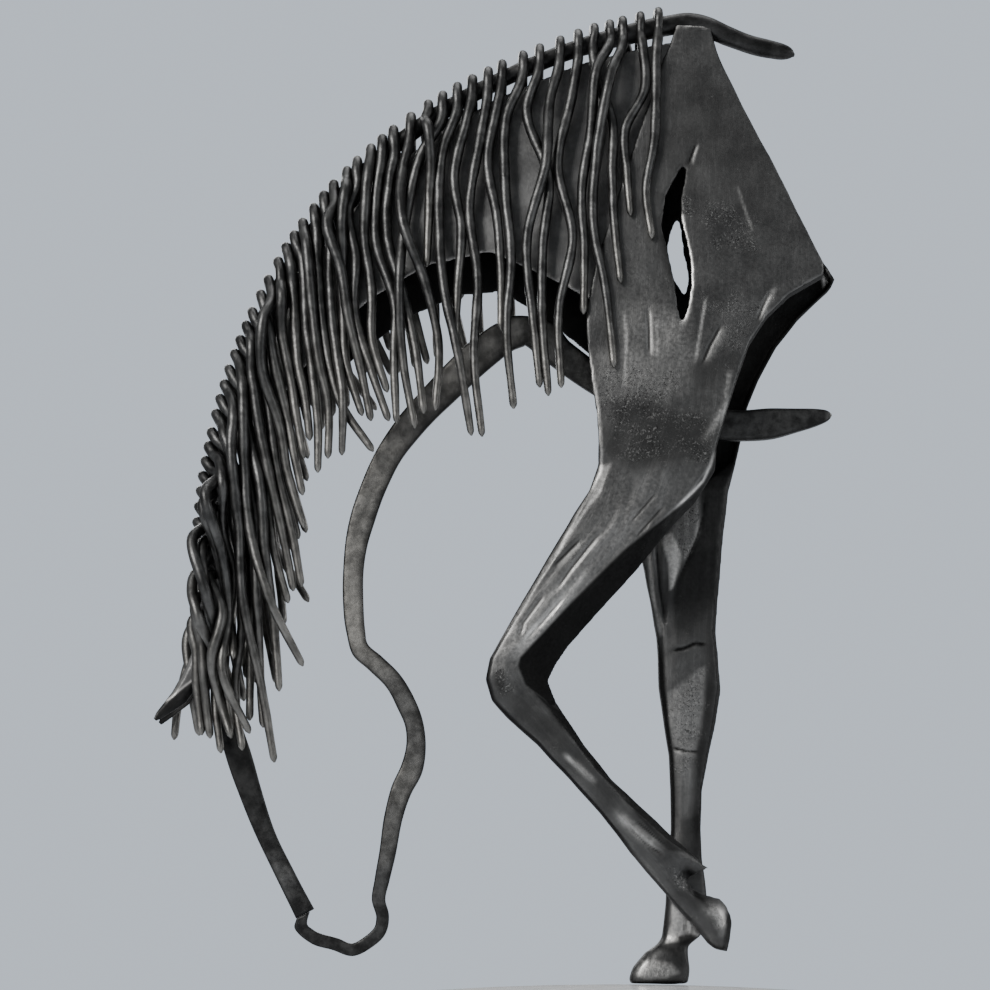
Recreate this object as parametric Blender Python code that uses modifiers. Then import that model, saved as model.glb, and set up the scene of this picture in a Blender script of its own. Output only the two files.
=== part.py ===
"""Half horse forged from steel plate and bar, with a mane of bent rods, on a low round base.

The horse faces -X and shows its near side to -Y. It stands on its far forefoot, and its near
foreleg crosses in front. The origin is the centre of the base's underside, and +Z is up.
"""
import math

import bmesh
import bpy
import numpy as np
from mathutils import Vector

# Driving dimensions, in metres
HORSE_HEIGHT = 0.973       # from the base's top to the highest rod
BODY_WIDTH = 0.104         # over both side plates at the elbow
PLATE = 0.0035             # wall of the side plates and the neck plates
BASE_RADIUS = 0.215
BASE_RIM = 0.046           # height of the base at its edge
BASE_DOME = 0.008          # rise of its top above the edge
BASE_ROUND = 0.006         # rounding of its upper edge
CREST_BAR = 0.017          # diameter along the mane
THROAT_BAR = 0.010         # thickness of the flat bar, front to back
FACE_BAR = 0.011           # thickness
ROD = 0.0108               # diameter of a mane rod where it hooks over the crest bar
ROD_END = 0.0066           # diameter at its tip
LIP = 0.020                # inward fold along the rear edge of a side plate
BASE_FOOT = 0.002          # bevel round the base's lower edge
THROAT_CORNER = 0.0025     # bevel along the throat bar's edges
FACE_CORNER = 0.003
SHORT_GAP = 0.0003         # between pieces that touch
ROD_GAP = 0.0009           # between two rods
BODY_GAP = 0.0009          # between a rod's corners and the plates behind it
WINDOW = 0.008             # gap between the crest bar and the neck plates
EAR_WALL = 0.003

# The pose is drawn on a grid of 973 units to the horse's height. Its zero is the middle of the base's top.
GRID = HORSE_HEIGHT / 973
GROUND = BASE_RIM + BASE_DOME
CREST_RADIUS = CREST_BAR / 2
ROD_RADIUS = ROD / 2
BODY_REACH = 420 * GRID    # depth below the crest at which the body has its full width
BASE_STEPS, CREST_SIDES, ROD_SIDES = 32, 10, 5   # flats round the base, the crest bar and a rod

# Grid points (x, z) of the crest bar's axis, from its rear end to the poll, each with the bar's
# thickness there as a multiple of its diameter along the mane
CREST = [(191, 922, 0.55), (184, 925, 0.85), (171, 928, 1.05), (143, 935, 1.12), (120, 944, 1.18),
         (101, 953, 1.24), (81, 957, 1.26), (57, 954, 1.24), (16, 944, 1.18), (-26, 932, 1.08),
         (-102, 900, 1), (-174, 859, 1), (-243, 801, 1), (-294, 740, 1), (-334, 668, 1), (-363, 594, 1),
         (-382, 518, 1), (-391, 444, 1), (-392, 371, 1), (-386, 311, 1)]
MANE_START = 143           # grid distance along the crest bar to the first rod
MANE_LENGTH = 805          # grid distance from the first rod to the last

# Each rod: its distance along the mane, the drop of its near tail, and how far the tail has swung
# sideways at each fifth of that drop
RODS = [
    (0, 255, -2, -5, -6, -15, -10), (19, 226, 3, 6, -16, -15, -12), (38, 377, -9, -27, -31, -19, -12),
    (52, 319, -10, -16, -27, -27, -28), (68, 283, -1, 10, 17, 19, 24), (85, 383, -5, -20, -6, -20, -18),
    (105, 375, -9, -14, -32, -26, -19), (128, 375, -10, 10, 4, 2, 8), (146, 380, -17, -16, -13, -19, -8),
    (170, 290, -1, -13, -3, 4, 4), (186, 390, -3, -17, -9, -11, -3), (204, 288, -4, -15, -5, -12, -16),
    (222, 372, -12, -16, -8, 8, 18), (239, 354, -18, -31, -39, -33, -22), (256, 181, 3, 5, 7, 5, 3),
    (278, 314, -5, -9, 16, 33, 30), (300, 303, -2, 0, 16, 26, 36), (315, 303, -1, -3, 19, 17, 19),
    (330, 262, 0, -3, 6, 4, 24), (349, 277, -9, 1, -1, 15, 40), (364, 260, -1, 3, 0, 6, 25),
    (383, 252, 0, 17, 22, 38, 43), (398, 274, 7, 15, 21, 28, 27), (414, 258, 4, 9, 14, 32, 66),
    (433, 248, 9, 20, 23, 31, 34), (448, 249, 9, 14, 29, 31, 32), (463, 204, 3, 11, 20, 27, 32),
    (480, 207, 2, 5, 20, 26, 34), (501, 256, 7, 5, 17, 22, 46), (518, 210, 5, 13, 26, 37, 49),
    (538, 281, 8, 17, 31, 46, 59), (553, 271, 9, 19, 30, 44, 57), (569, 268, 14, 24, 30, 41, 58),
    (584, 315, 11, 21, 30, 50, 78), (601, 323, 24, 32, 37, 46, 61), (617, 377, 16, 24, 22, 44, 61),
    (632, 327, 22, 35, 38, 41, 58), (648, 306, 21, 33, 37, 36, 46), (667, 316, 19, 29, 32, 26, 43),
    (682, 219, 15, 27, 29, 32, 41), (697, 272, 15, 19, 25, 27, 51), (712, 230, 14, 16, 22, 24, 29),
    (727, 151, 11, 17, 21, 26, 30), (743, 244, 8, 17, 21, 22, 32), (759, 167, 8, 13, 16, 16, 23),
    (776, 189, 10, 18, 27, 33, 44), (791, 182, 19, 28, 31, 36, 50), (811, 162, 14, 20, 22, 22, 28),
    (833, 137, 9, 14, 14, 17, 18),
]
RODS_SPAN = 833            # the distances above run to this
# The far tails that show beneath the ears: drop and swings of each, by the number of its rod
FAR_TAILS = {47: (155, 0, 2, 3, 6, 10), 48: (137, -2, -5, -9, -13, -15)}

# The flat throat bar: x, z, width across, from the muzzle's upper end to the tip of the belly spike
THROAT = [
    (-297, 64, 14), (-299, 55, 13), (-289, 45, 12), (-265, 37, 12), (-250, 32, 12), (-235, 39, 12),
    (-223, 51, 12), (-221, 63, 12), (-225, 79, 13), (-222, 97, 14), (-217, 122, 16), (-211, 159, 18),
    (-204, 183, 20), (-194, 204, 21), (-190, 227, 19), (-192, 247, 18), (-200, 267, 19), (-212, 288, 18),
    (-230, 306, 18), (-245, 320, 18), (-249, 336, 18), (-252, 368, 20), (-252, 397, 20), (-249, 425, 22),
    (-243, 450, 24), (-232, 482, 25), (-218, 512, 26), (-200, 538, 28), (-164, 578, 31), (-122, 618, 33),
    (-104, 631, 32), (-88, 637, 31), (-76, 636, 31), (-47, 612, 30), (-16, 589, 29), (25, 566, 29),
    (75, 547, 30), (128, 541, 31), (158, 543, 30), (180, 546, 24), (206, 550, 15), (218, 552, 8),
]
# The face bar: x, z, width
FACE = [(-385, 305, 17), (-374, 258, 21), (-362, 220, 24), (-350, 184, 22), (-334, 142, 18),
        (-314, 102, 18), (-295, 66, 19)]

# Rows down a side plate, as (front x, front z, rear x, rear z)
NEAR_PLATE = [
    (69, 943, 103, 941), (55, 915, 112, 915), (38, 862, 134, 862), (18, 800, 163, 800),
    (-1, 740, 188, 742), (-14, 700, 208, 696), (-20, 672, 208, 684), (-25, 645, 174, 664),
    (-25, 625, 151, 641), (-23, 600, 133, 613), (-20, 573, 122, 583), (-16, 543, 111, 549),
    (-14, 515, 100, 513),
]
FAR_PLATE = [
    (69, 943, 103, 941), (56, 915, 112, 915), (42, 862, 136, 862), (24, 800, 166, 800),
    (8, 740, 194, 742), (-2, 705, 219, 708), (-4, 693, 226, 696), (-6, 682, 222, 687),
    (-7, 670, 208, 674), (-8, 655, 190, 657), (-8, 628, 167, 628), (-5, 598, 148, 593),
    (0, 568, 137, 566), (6, 540, 131, 538),
    (12, 510, 125, 512),
]
# Rows down a leg, as (front x, z, ridge x, z, back x, z, outer depth, back depth, inner depth). The
# depths are grid distances from the horse's middle plane.
NEAR_LEG = [
    (-14, 494, 92, 490, 99, 489, 51, 36, 26), (-23, 469, 68, 458, 80, 458, 50, 33, 24),
    (-38, 446, 38, 430, 54, 431, 50, 30, 22), (-65, 400, -2, 394, 21, 390, 49, 30, 22),
    (-87, 362, -42, 356, -13, 352, 49, 29, 22), (-107, 327, -75, 323, -43, 318, 49, 29, 22),
    (-119, 306, -91, 303, -55, 300, 49, 29, 22), (-123, 286, -91, 291, -62, 285, 49, 29, 22),
    (-117, 266, -82, 277, -55, 265, 48, 29, 22), (-101, 248, -67, 262, -44, 248, 47, 29, 22),
    (-74, 224, -46, 236, -28, 224, 45, 28, 22), (-41, 189, -22, 203, -2, 191, 43, 27, 21),
    (-13, 158, 6, 172, 24, 167, 41, 26, 20), (17, 118, 44, 137, 59, 134, 40, 25, 18),
    (27, 106, 62, 117, 90, 108, 40, 26, 18), (38, 94, 56, 101, 68, 98, 39, 27, 18),
    (49, 81, 62, 87, 72, 89, 39, 26, 17), (61, 67, 75, 78, 86, 83, 40, 24, 14),
    (70, 57, 89, 73, 100, 82, 41, 22, 12), (77, 49, 98, 64, 108, 72, 42, 20, 11),
    (82, 42, 101, 51, 111, 57, 42, 20, 11), (87, 37, 101, 40, 109, 42, 40, 20, 12),
    (93, 32, 100, 31, 106, 29, 37, 22, 15),
]
FAR_LEG = [
    (16, 480, 96, 482, 119, 482, 51, 38, 20), (25, 446, 92, 448, 114, 446, 50, 38, 20),
    (33, 406, 86, 408, 110, 406, 50, 37, 20), (40, 368, 82, 370, 106, 368, 50, 37, 20),
    (45, 338, 80, 340, 104, 340, 50, 37, 18), (46, 316, 82, 318, 106, 312, 50, 37, 17),
    (47, 286, 82, 288, 108, 284, 50, 37, 17), (51, 254, 80, 254, 102, 250, 49, 36, 18),
    (56, 220, 78, 220, 95, 220, 48, 36, 19), (57, 186, 76, 186, 88, 186, 47, 36, 20),
    (57, 148, 75, 148, 86, 148, 46, 35, 20), (55, 118, 76, 118, 87, 118, 46, 35, 18),
    (52, 98, 78, 98, 90, 98, 46, 35, 16), (51, 76, 78, 76, 92, 78, 46, 34, 15),
    (49, 58, 76, 58, 91, 58, 46, 34, 16), (47, 44, 72, 44, 84, 45, 46, 34, 16),
    (42, 37, 64, 36, 72, 36, 49, 32, 13), (32, 31, 60, 30, 72, 28, 52, 32, 9),
    (19, 16, 58, 14, 74, 14, 55, 32, 6), (15, 5, 58, 5, 73, 5, 56, 32, 5), (16, 0, 58, 0, 72, 0, 56, 32, 5),
]
NEAR_SLIT = [(75, 803), (63, 782), (55, 766), (52, 747), (50, 733), (56, 709), (62, 674), (65, 648),
             (68, 633), (74, 649), (78, 674), (78, 693), (76, 708), (69, 741), (70, 766), (74, 787)]
FAR_SLIT = [(72, 764), (67, 756), (63, 745), (61, 733), (62, 715), (68, 699), (78, 682), (81, 697),
            (81, 706), (79, 716), (76, 727), (75, 740)]

# Neck plates: distance along the crest bar of each row, and its lower corner (x, z)
NEAR_NECK = [(112, 24, 640), (160, -6, 652), (236, -58, 682), (330, -119, 712), (412, -182, 699),
             (486, -229, 671), (560, -268, 640), (640, -306, 592), (705, -334, 552)]
FAR_NECK = [(112, 6, 606), (160, -20, 622), (224, -58, 652), (330, -106, 683), (412, -150, 678),
            (486, -196, 657), (560, -240, 624), (640, -284, 584), (705, -322, 546)]
# An ear's rows: x, z, width, distance from the middle plane
EAR = [(-400, 327, 8, 6), (-401, 315, 13, 7), (-403, 302, 18, 8), (-409, 287, 19, 10), (-418, 272, 17, 12),
       (-428, 262, 12, 15), (-436, 254, 8, 18), (-440, 249, 4, 20)]

STEEL = (0.055, 0.055, 0.06)
DARK_STEEL = (0.035, 0.034, 0.036)
STONE = (0.72, 0.72, 0.73)


def on_grid(x, z, y=0.0):
    """A grid point (x, z) in metres, at a depth y that is already in metres."""
    return Vector((x * GRID, y, GROUND + z * GRID))


def smooth_path(points, steps):
    """Points on a Catmull-Rom curve through the given ones, with the same number of steps in each span."""
    points = [np.array(p, dtype=float) for p in points]
    ends = [2 * points[0] - points[1]] + points + [2 * points[-1] - points[-2]]
    path = []
    for a, b, c, d in zip(ends, ends[1:], ends[2:], ends[3:]):
        for step in range(steps):
            t = step / steps
            path.append(0.5 * (2 * b + (c - a) * t + (2 * a - 5 * b + 4 * c - d) * t ** 2
                               + (3 * b - a - 3 * c + d) * t ** 3))
    path.append(points[-1])
    return path


CREST_SPANS = 3            # straight pieces that a span of the crest's outline is measured in
CREST_PATH = smooth_path(CREST, CREST_SPANS)
CREST_LINE = np.array([on_grid(x, z) for x, z, _ in CREST_PATH])
CREST_STEPS = np.linalg.norm(np.diff(CREST_LINE, axis=0), axis=1)
CREST_ALONG = np.concatenate([[0], np.cumsum(CREST_STEPS)])


def crest_radius(distance):
    """The crest bar's radius at a distance along it."""
    return float(np.interp(distance, CREST_ALONG, [share for _, _, share in CREST_PATH])) * CREST_RADIUS


def crest_at(distance):
    """The crest bar's axis at a distance along it, with its direction and its outward normal."""
    reach = 6 * GRID
    behind, spot, ahead = (Vector([np.interp(place, CREST_ALONG, CREST_LINE[:, axis]) for axis in range(3)])
                           for place in (distance - reach, distance, distance + reach))
    direction = (ahead - behind).normalized()
    return spot, direction, Vector((direction.z, 0, -direction.x))


def crest_distance(points):
    """How far each point is from the crest bar's axis, seen from the side."""
    flat = np.asarray(points, dtype=float)[..., [0, 2]]
    line = CREST_LINE[:, [0, 2]]
    start, span = line[:-1], np.diff(line, axis=0)
    share = ((flat[..., None, :] - start) * span).sum(-1) / (span ** 2).sum(-1)
    nearest = start + np.clip(share, 0, 1)[..., None] * span
    return np.linalg.norm(flat[..., None, :] - nearest, axis=-1).min(axis=-1)


def half_width(points):
    """The body's half width at each point: narrow under the crest bar, full at the elbow."""
    narrow = CREST_RADIUS + SHORT_GAP
    share = np.sin(math.pi / 2 * np.minimum(crest_distance(points) / BODY_REACH, 1))
    return narrow + (BODY_WIDTH / 2 - narrow) * share


def material(name, colour, roughness, metallic):
    made = bpy.data.materials.new(name)
    made.use_nodes = True
    shader = made.node_tree.nodes["Principled BSDF"]
    shader.inputs["Base Color"].default_value = (*colour, 1)
    shader.inputs["Roughness"].default_value = roughness
    shader.inputs["Metallic"].default_value = metallic
    return made


def add_object(name, mesh, finish, folder):
    made = bpy.data.objects.new(name, mesh)
    mesh.materials.append(finish)
    folder.objects.link(made)
    return made


def loft(name, rings, finish, folder, pointed=(False, False)):
    """A closed solid through rings of equally many points. A pointed end closes on its ring's middle."""
    mesh = bpy.data.meshes.new(name)
    bm = bmesh.new()
    rows = [[bm.verts.new(point) for point in ring] for ring in rings]
    count = len(rows[0])
    for row, after in zip(rows, rows[1:]):
        for k in range(count):
            n = (k + 1) % count
            bm.faces.new((row[k], row[n], after[n], after[k]))
    for row, sharp in ((rows[0], pointed[0]), (rows[-1], pointed[1])):
        if sharp:
            apex = bm.verts.new(sharp)
            for k in range(count):
                bm.faces.new((row[k], row[(k + 1) % count], apex))
        else:
            bm.faces.new(row)
    bmesh.ops.triangulate(bm, faces=[f for f in bm.faces if len(f.verts) > 4])
    bmesh.ops.recalc_face_normals(bm, faces=bm.faces)
    bm.to_mesh(mesh)
    bm.free()
    return add_object(name, mesh, finish, folder)


TIP = 0.6                  # length of a round bar's end cone, as a share of its radius


def tube(name, points, radii, sides, finish, folder):
    """A round bar through points in space, with a short cone at each end."""
    points = [Vector(p) for p in points]
    across = Vector((0, 1, 0))
    rings = []
    for k, point in enumerate(points):
        before = points[max(k - 1, 0)]
        after = points[min(k + 1, len(points) - 1)]
        direction = (after - before).normalized()
        across = (across - direction * across.dot(direction)).normalized()
        up = direction.cross(across)
        turns = [2 * math.pi * side / sides for side in range(sides)]
        rings.append([point + (across * math.cos(a) + up * math.sin(a)) * radii[k] for a in turns])
    first = points[0] + (points[0] - points[1]).normalized() * radii[0] * TIP
    last = points[-1] + (points[-1] - points[-2]).normalized() * radii[-1] * TIP
    return loft(name, rings, finish, folder, (first, last))


CORNER_SHARES = (0.35, 0.7)   # the widest that a corner's bevel may be, of half the width and half the depth
POINT = 0.4                # length of the tapered end's last point, as a share of the width there


def flat_bar(name, rows, depths, corner, finish, folder, start=None, tapered=False):
    """A flat bar in the middle plane: its width lies in the plane of the outline. A start direction
    turns the bar's first end to meet another piece squarely."""
    spots = [on_grid(x, z) for x, z, _ in rows]
    rings = []
    for k, (spot, (_, _, width), depth) in enumerate(zip(spots, rows, depths)):
        direction = (spots[min(k + 1, len(spots) - 1)] - spots[max(k - 1, 0)]).normalized()
        if start and k == 0:
            direction = start
        side = Vector((direction.z, 0, -direction.x))
        half, thick = width * GRID / 2, depth / 2
        cut = min(corner, CORNER_SHARES[0] * half, CORNER_SHARES[1] * thick)
        outline = [(half, thick - cut), (half - cut, thick), (cut - half, thick), (-half, thick - cut),
                   (-half, cut - thick), (cut - half, -thick), (half - cut, -thick), (half, cut - thick)]
        rings.append([spot + side * a + Vector((0, b, 0)) for a, b in outline])
    last = spots[-1] + (spots[-1] - spots[-2]).normalized() * rows[-1][2] * GRID * POINT
    return loft(name, rings, finish, folder, (False, last if tapered else False))


def cut_through(target, outline, depth, folder):
    """Cuts a grid outline through a plate, along Y."""
    mesh = bpy.data.meshes.new(target.name + "_slit_cutter")
    bm = bmesh.new()
    face = bm.faces.new([bm.verts.new(on_grid(x, z, -depth)) for x, z in outline])
    wall = bmesh.ops.extrude_face_region(bm, geom=[face])
    moved = [v for v in wall["geom"] if isinstance(v, bmesh.types.BMVert)]
    bmesh.ops.translate(bm, verts=moved, vec=(0, 2 * depth, 0))
    bmesh.ops.recalc_face_normals(bm, faces=bm.faces)
    bm.to_mesh(mesh)
    bm.free()
    cutter = bpy.data.objects.new(mesh.name, mesh)
    folder.objects.link(cutter)
    cutter.hide_render = True
    cutter.display_type = "WIRE"
    slit = target.modifiers.new("slit", "BOOLEAN")
    slit.operation = "DIFFERENCE"
    slit.solver = "EXACT"
    slit.object = cutter


FACE_SHARES = (0.0, 0.12, 0.55, 1.0)   # where the outer face's four columns lie between its two edges
FOLD_SHARE = 0.45          # the widest that the fold may be, as a share of the body's half width
FOLD_SLANT = 0.4           # how far the fold leans outward past the edge, as a share of the wall
LEG_FACE = (-6, 0, 1.5, 0)   # how far a leg's outer columns stand beyond its outer depth, in grid units
LEG_INNER = ((0.85, 0), (0.5, 0), (0.15, 2), (0.0, 8))   # inner columns: place across, and extra depth
LEG_HEEL = (0.2, 2)        # the corner between the back and the inner face, in the same way


def plate_ring(row, side):
    """A row across a side plate: its outer face, the fold along its rear edge, and its inner face."""
    front_x, front_z, rear_x, rear_z = row
    columns = [on_grid(front_x + (rear_x - front_x) * share, front_z + (rear_z - front_z) * share)
               for share in FACE_SHARES]
    widths = half_width([tuple(c) for c in columns])
    outer = [Vector((c.x, side * w, c.z)) for c, w in zip(columns, widths)]
    fold = min(LIP, float(widths[-1]) * FOLD_SHARE)
    inward = (columns[0] - columns[-1]).normalized() * PLATE
    tucked = Vector((0, -side * PLATE, 0))
    lip = outer[-1] + Vector((0, -side * fold, 0)) - inward * FOLD_SLANT
    inner = [p + tucked for p in outer]
    inner[-1] += inward
    return outer + [lip, lip + inward] + inner[::-1]


def leg_ring(row, side):
    """A row across a leg: outer face, ridge, the facet behind the ridge, and the inner face."""
    front_x, front_z, ridge_x, ridge_z, back_x, back_z, outer, back, inner = row
    front, ridge, rear = on_grid(front_x, front_z), on_grid(ridge_x, ridge_z), on_grid(back_x, back_z)

    def corner(start, end, share, depth):
        return start.lerp(end, share) + Vector((0, side * depth * GRID, 0))

    ring = [corner(front, ridge, share, outer + more) for share, more in zip(FACE_SHARES, LEG_FACE)]
    ring.append(corner(rear, ridge, 0, back))
    ring.append(corner(rear, ridge, LEG_HEEL[0], inner + LEG_HEEL[1]))
    return ring + [corner(front, ridge, share, inner + more) for share, more in LEG_INNER]


def side_piece(name, plate_rows, leg_rows, side, finish, folder):
    rings = [plate_ring(row, side) for row in plate_rows] + [leg_ring(row, side) for row in leg_rows]
    return loft(name, rings, finish, folder)


NECK_SHARES = (0.0, 0.35, 0.7, 1.0)
NECK_TUCK = 0.005          # how much deeper than the side plate's wall a neck plate lies, low down
TUCK_REACH = 100 * GRID    # the depth below the crest at which it lies that much deeper


def neck_plate(name, rows, side, finish, folder):
    """A thin plate from just under the crest bar down to the neck's lower edge."""
    rings = []
    for along, low_x, low_z in rows:
        spot, _, normal = crest_at(along * GRID)
        upper = spot - normal * (crest_radius(along * GRID) + WINDOW)
        columns = [upper.lerp(on_grid(low_x, low_z), share) for share in NECK_SHARES]
        depth = crest_distance([tuple(c) for c in columns])
        tuck = PLATE + 2 * SHORT_GAP + NECK_TUCK * np.minimum(depth / TUCK_REACH, 1)
        widths = half_width([tuple(c) for c in columns]) - tuck
        outer = [Vector((c.x, side * w, c.z)) for c, w in zip(columns, widths)]
        rings.append(outer + [p + Vector((0, -side * PLATE, 0)) for p in outer[::-1]])
    return loft(name, rings, finish, folder)


EAR_BOW = 0.16             # depth of the cup, as a share of the leaf's width
EAR_THIN = 0.3             # its wall at most, in the same way


def ear(name, side, finish, folder):
    """A cupped leaf whose hollow faces the other ear."""
    spots = [on_grid(x, z, side * depth * GRID) for x, z, _, depth in EAR]
    rings = []
    for k, (spot, (_, _, width, _)) in enumerate(zip(spots, EAR)):
        direction = (spots[min(k + 1, len(spots) - 1)] - spots[max(k - 1, 0)]).normalized()
        flank = Vector((direction.z, 0, -direction.x)).normalized() * width * GRID / 2
        out = Vector((0, side, 0))
        bow, wall = width * GRID * EAR_BOW, min(EAR_WALL, width * GRID * EAR_THIN)
        outer = [spot - flank, spot - flank / 2 + out * bow, spot + flank / 2 + out * bow, spot + flank]
        rings.append(outer + [p - out * wall for p in outer[::-1]])
    return loft(name, rings, finish, folder)


NEAR_POINTS = 6            # points of a near tail, counted from under the crest bar
FAR_POINTS = 4
FAR_SHARE = 0.78           # how far the far tails hang down, as a share of the near ones
HOOK_LEAN = 1.05            # steepest lean of a hook down the crest bar, as a slope
HOOK_STEP = 45             # degrees round the crest bar from one point of a hook to the next
HOOK_TURNS = [HOOK_STEP * place for place in (-1.5, -0.5, 0.5, 1.5)]   # from the near side to the far one
ROD_TAPER = 2.0            # power of the taper from under the crest bar to the tip
SETTLE_TURNS = 600         # rounds of pushing the rods apart
SETTLE_PACE = 1.7          # share of the missing gap that a round makes up
SETTLE_LAYER = 0.00003     # how much farther out each rod starts than the next one down the crest
SETTLE_PULL = 0.01         # share of the way back to its drawn place that a rod takes in a round
SETTLE_PULLED = 0.6        # share of the rounds that pull the rods back
SETTLE_AGAIN = 20          # rounds from one search for near pieces to the next
SETTLE_REACH = 9 * GRID    # the farthest that a rod moves back or down from its drawn place
SETTLE_FRONT = 3 * GRID    # the farthest that it moves to the front


def rod_route(number):
    """One rod from its near tip over the crest bar to its far tip."""
    along, drop, *swings = RODS[number]
    far_drop, *far_swings = FAR_TAILS.get(number, (FAR_SHARE * drop, *swings))
    distance = (MANE_START + MANE_LENGTH * along / RODS_SPAN) * GRID
    spot, direction, normal = crest_at(distance)
    reach = crest_radius(distance) + ROD_RADIUS + SHORT_GAP
    lean = direction * reach * min(direction.z / min(direction.x, -0.01), HOOK_LEAN)
    vertex_radius = reach / math.cos(math.radians(HOOK_STEP / 2))
    top = spot + normal * (reach + ROD_RADIUS)
    hook = []
    for turn in HOOK_TURNS:
        a = math.radians(turn)
        round_bar = normal * math.cos(a) + Vector((0, math.sin(a), 0))
        hook.append(spot + lean * (1 - math.cos(a)) + round_bar * vertex_radius)
    under = spot + (lean - normal * reach) * (1 + ROD_RADIUS / reach) + normal * reach

    def tail(side, fall, swings, count):
        made = [Vector((under.x, side * reach, under.z))]
        shares = [(k + 1) / (count - 1) for k in range(count - 1)]
        fifths = np.linspace(0, 1, len(swings) + 1)
        for share in shares:
            swing = float(np.interp(share, fifths, [0, *swings]))
            place = top + Vector((swing * GRID, 0, -share * fall * GRID))
            made.append(Vector((place.x, side * reach, place.z)))
        return made

    return tail(-1, drop, swings, NEAR_POINTS)[::-1] + hook + tail(1, far_drop, far_swings, FAR_POINTS)


def nearest_shares(a, b, c, d):
    """For segments a-b and c-d, how far along each one the other comes nearest."""
    one, two, gap = b - a, d - c, a - c
    aa, bb, ab = (one * one).sum(-1), (two * two).sum(-1), (one * two).sum(-1)
    ag, bg = (one * gap).sum(-1), (two * gap).sum(-1)
    first = np.clip((ab * bg - ag * bb) / np.maximum(aa * bb - ab ** 2, 1e-12), 0, 1)
    second = (ab * first + bg) / bb
    first = np.where(second < 0, np.clip(-ag / aa, 0, 1), first)
    first = np.where(second > 1, np.clip((ab - ag) / aa, 0, 1), first)
    return first, np.clip(second, 0, 1)


def near_pieces(starts, ends, owner, reach):
    """Index pairs of straight pieces on different rods that may come nearer than reach."""
    middle, half = (starts + ends) / 2, np.linalg.norm(ends - starts, axis=1) / 2
    first, second = np.triu_indices(len(owner), 1)
    other = owner[first] != owner[second]
    first, second = first[other], second[other]
    apart = np.linalg.norm(middle[first] - middle[second], axis=1)
    close = apart < half[first] + half[second] + reach
    return first[close], second[close]


def settle(routes):
    """Lays the tails against the body and pushes them apart until no two rods touch."""
    spots = np.array([[tuple(p) for p in route] for route in routes])
    rods, points, _ = spots.shape
    hook = slice(NEAR_POINTS, NEAR_POINTS + len(HOOK_TURNS))
    side = np.sign(spots[..., 1])
    side[:, hook] = 0
    loose = np.where(side == 0, 0.0, 1.0).reshape(-1)
    radii = np.array(rod_radii())
    aim = spots.copy()
    start = (np.arange(rods)[:, None] * points + np.arange(points - 1)).reshape(-1)
    owner = start // points
    radius = np.tile(radii, rods)

    def outside(places, sink):
        floor = half_width(places) + radii + BODY_GAP
        over = np.maximum(places[..., 1] * side - floor, 0) * (1 - sink)
        return np.where(side == 0, places[..., 1], side * (floor + over))

    # A rod nearer the withers lies over the ones below it, outside their hooks
    spots[..., 1] = outside(spots, 1)
    spots[..., 1] += side * (rods - np.arange(rods))[:, None] * SETTLE_LAYER
    over_hooks = (crest_distance(spots) < CREST_RADIUS + 2 * ROD) & (side != 0)
    over_hooks[:, [NEAR_POINTS - 1, hook.stop]] = False
    spots[..., 1] += side * over_hooks * ROD
    for turn in range(SETTLE_TURNS):
        pull = SETTLE_PULL if turn < SETTLE_PULLED * SETTLE_TURNS else 0
        flat = spots.reshape(-1, 3)
        if turn % SETTLE_AGAIN == 0:
            first, second = near_pieces(flat[start], flat[start + 1], owner, 2 * ROD)
            ends = np.stack([start[first], start[first] + 1, start[second], start[second] + 1])
        a, b, c, d = flat[ends]
        one, two = nearest_shares(a, b, c, d)
        shares = np.stack([1 - one, one, two - 1, -two])
        apart = (shares[..., None] * flat[ends]).sum(0)
        distance = np.linalg.norm(apart, axis=1)
        need = (np.abs(shares) * radius[ends]).sum(0) + ROD_GAP
        lack = np.maximum(need - distance, 0)
        give = (shares ** 2 * loose[ends]).sum(0)
        step = lack / np.maximum(distance * give, 1e-7)
        move, count = np.zeros_like(flat), np.full(len(flat), 1e-9)
        for end, share in zip(ends, shares):
            np.add.at(move, end, (share * step * loose[end])[:, None] * apart)
            np.add.at(count, end, np.abs(share) * (lack > 0))
        flat = flat + SETTLE_PACE * move / np.maximum(count, 1)[:, None]
        spots = flat.reshape(spots.shape)
        shift = (spots - aim)[..., [0, 2]] * (1 - pull)
        spots[..., [0, 2]] = aim[..., [0, 2]] + np.clip(shift, [-SETTLE_FRONT, -SETTLE_REACH], SETTLE_REACH)
        spots[..., 1] = outside(spots, pull)
    return spots


def rod_radii():
    """The rod keeps its size over the hook and draws down to its tips."""
    def tail(count):
        shares = [k / (count - 1) for k in range(count)]
        return [ROD_RADIUS - (ROD_RADIUS - ROD_END / 2) * share ** ROD_TAPER for share in shares]

    return tail(NEAR_POINTS)[::-1] + [ROD_RADIUS] * len(HOOK_TURNS) + tail(FAR_POINTS)


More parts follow.
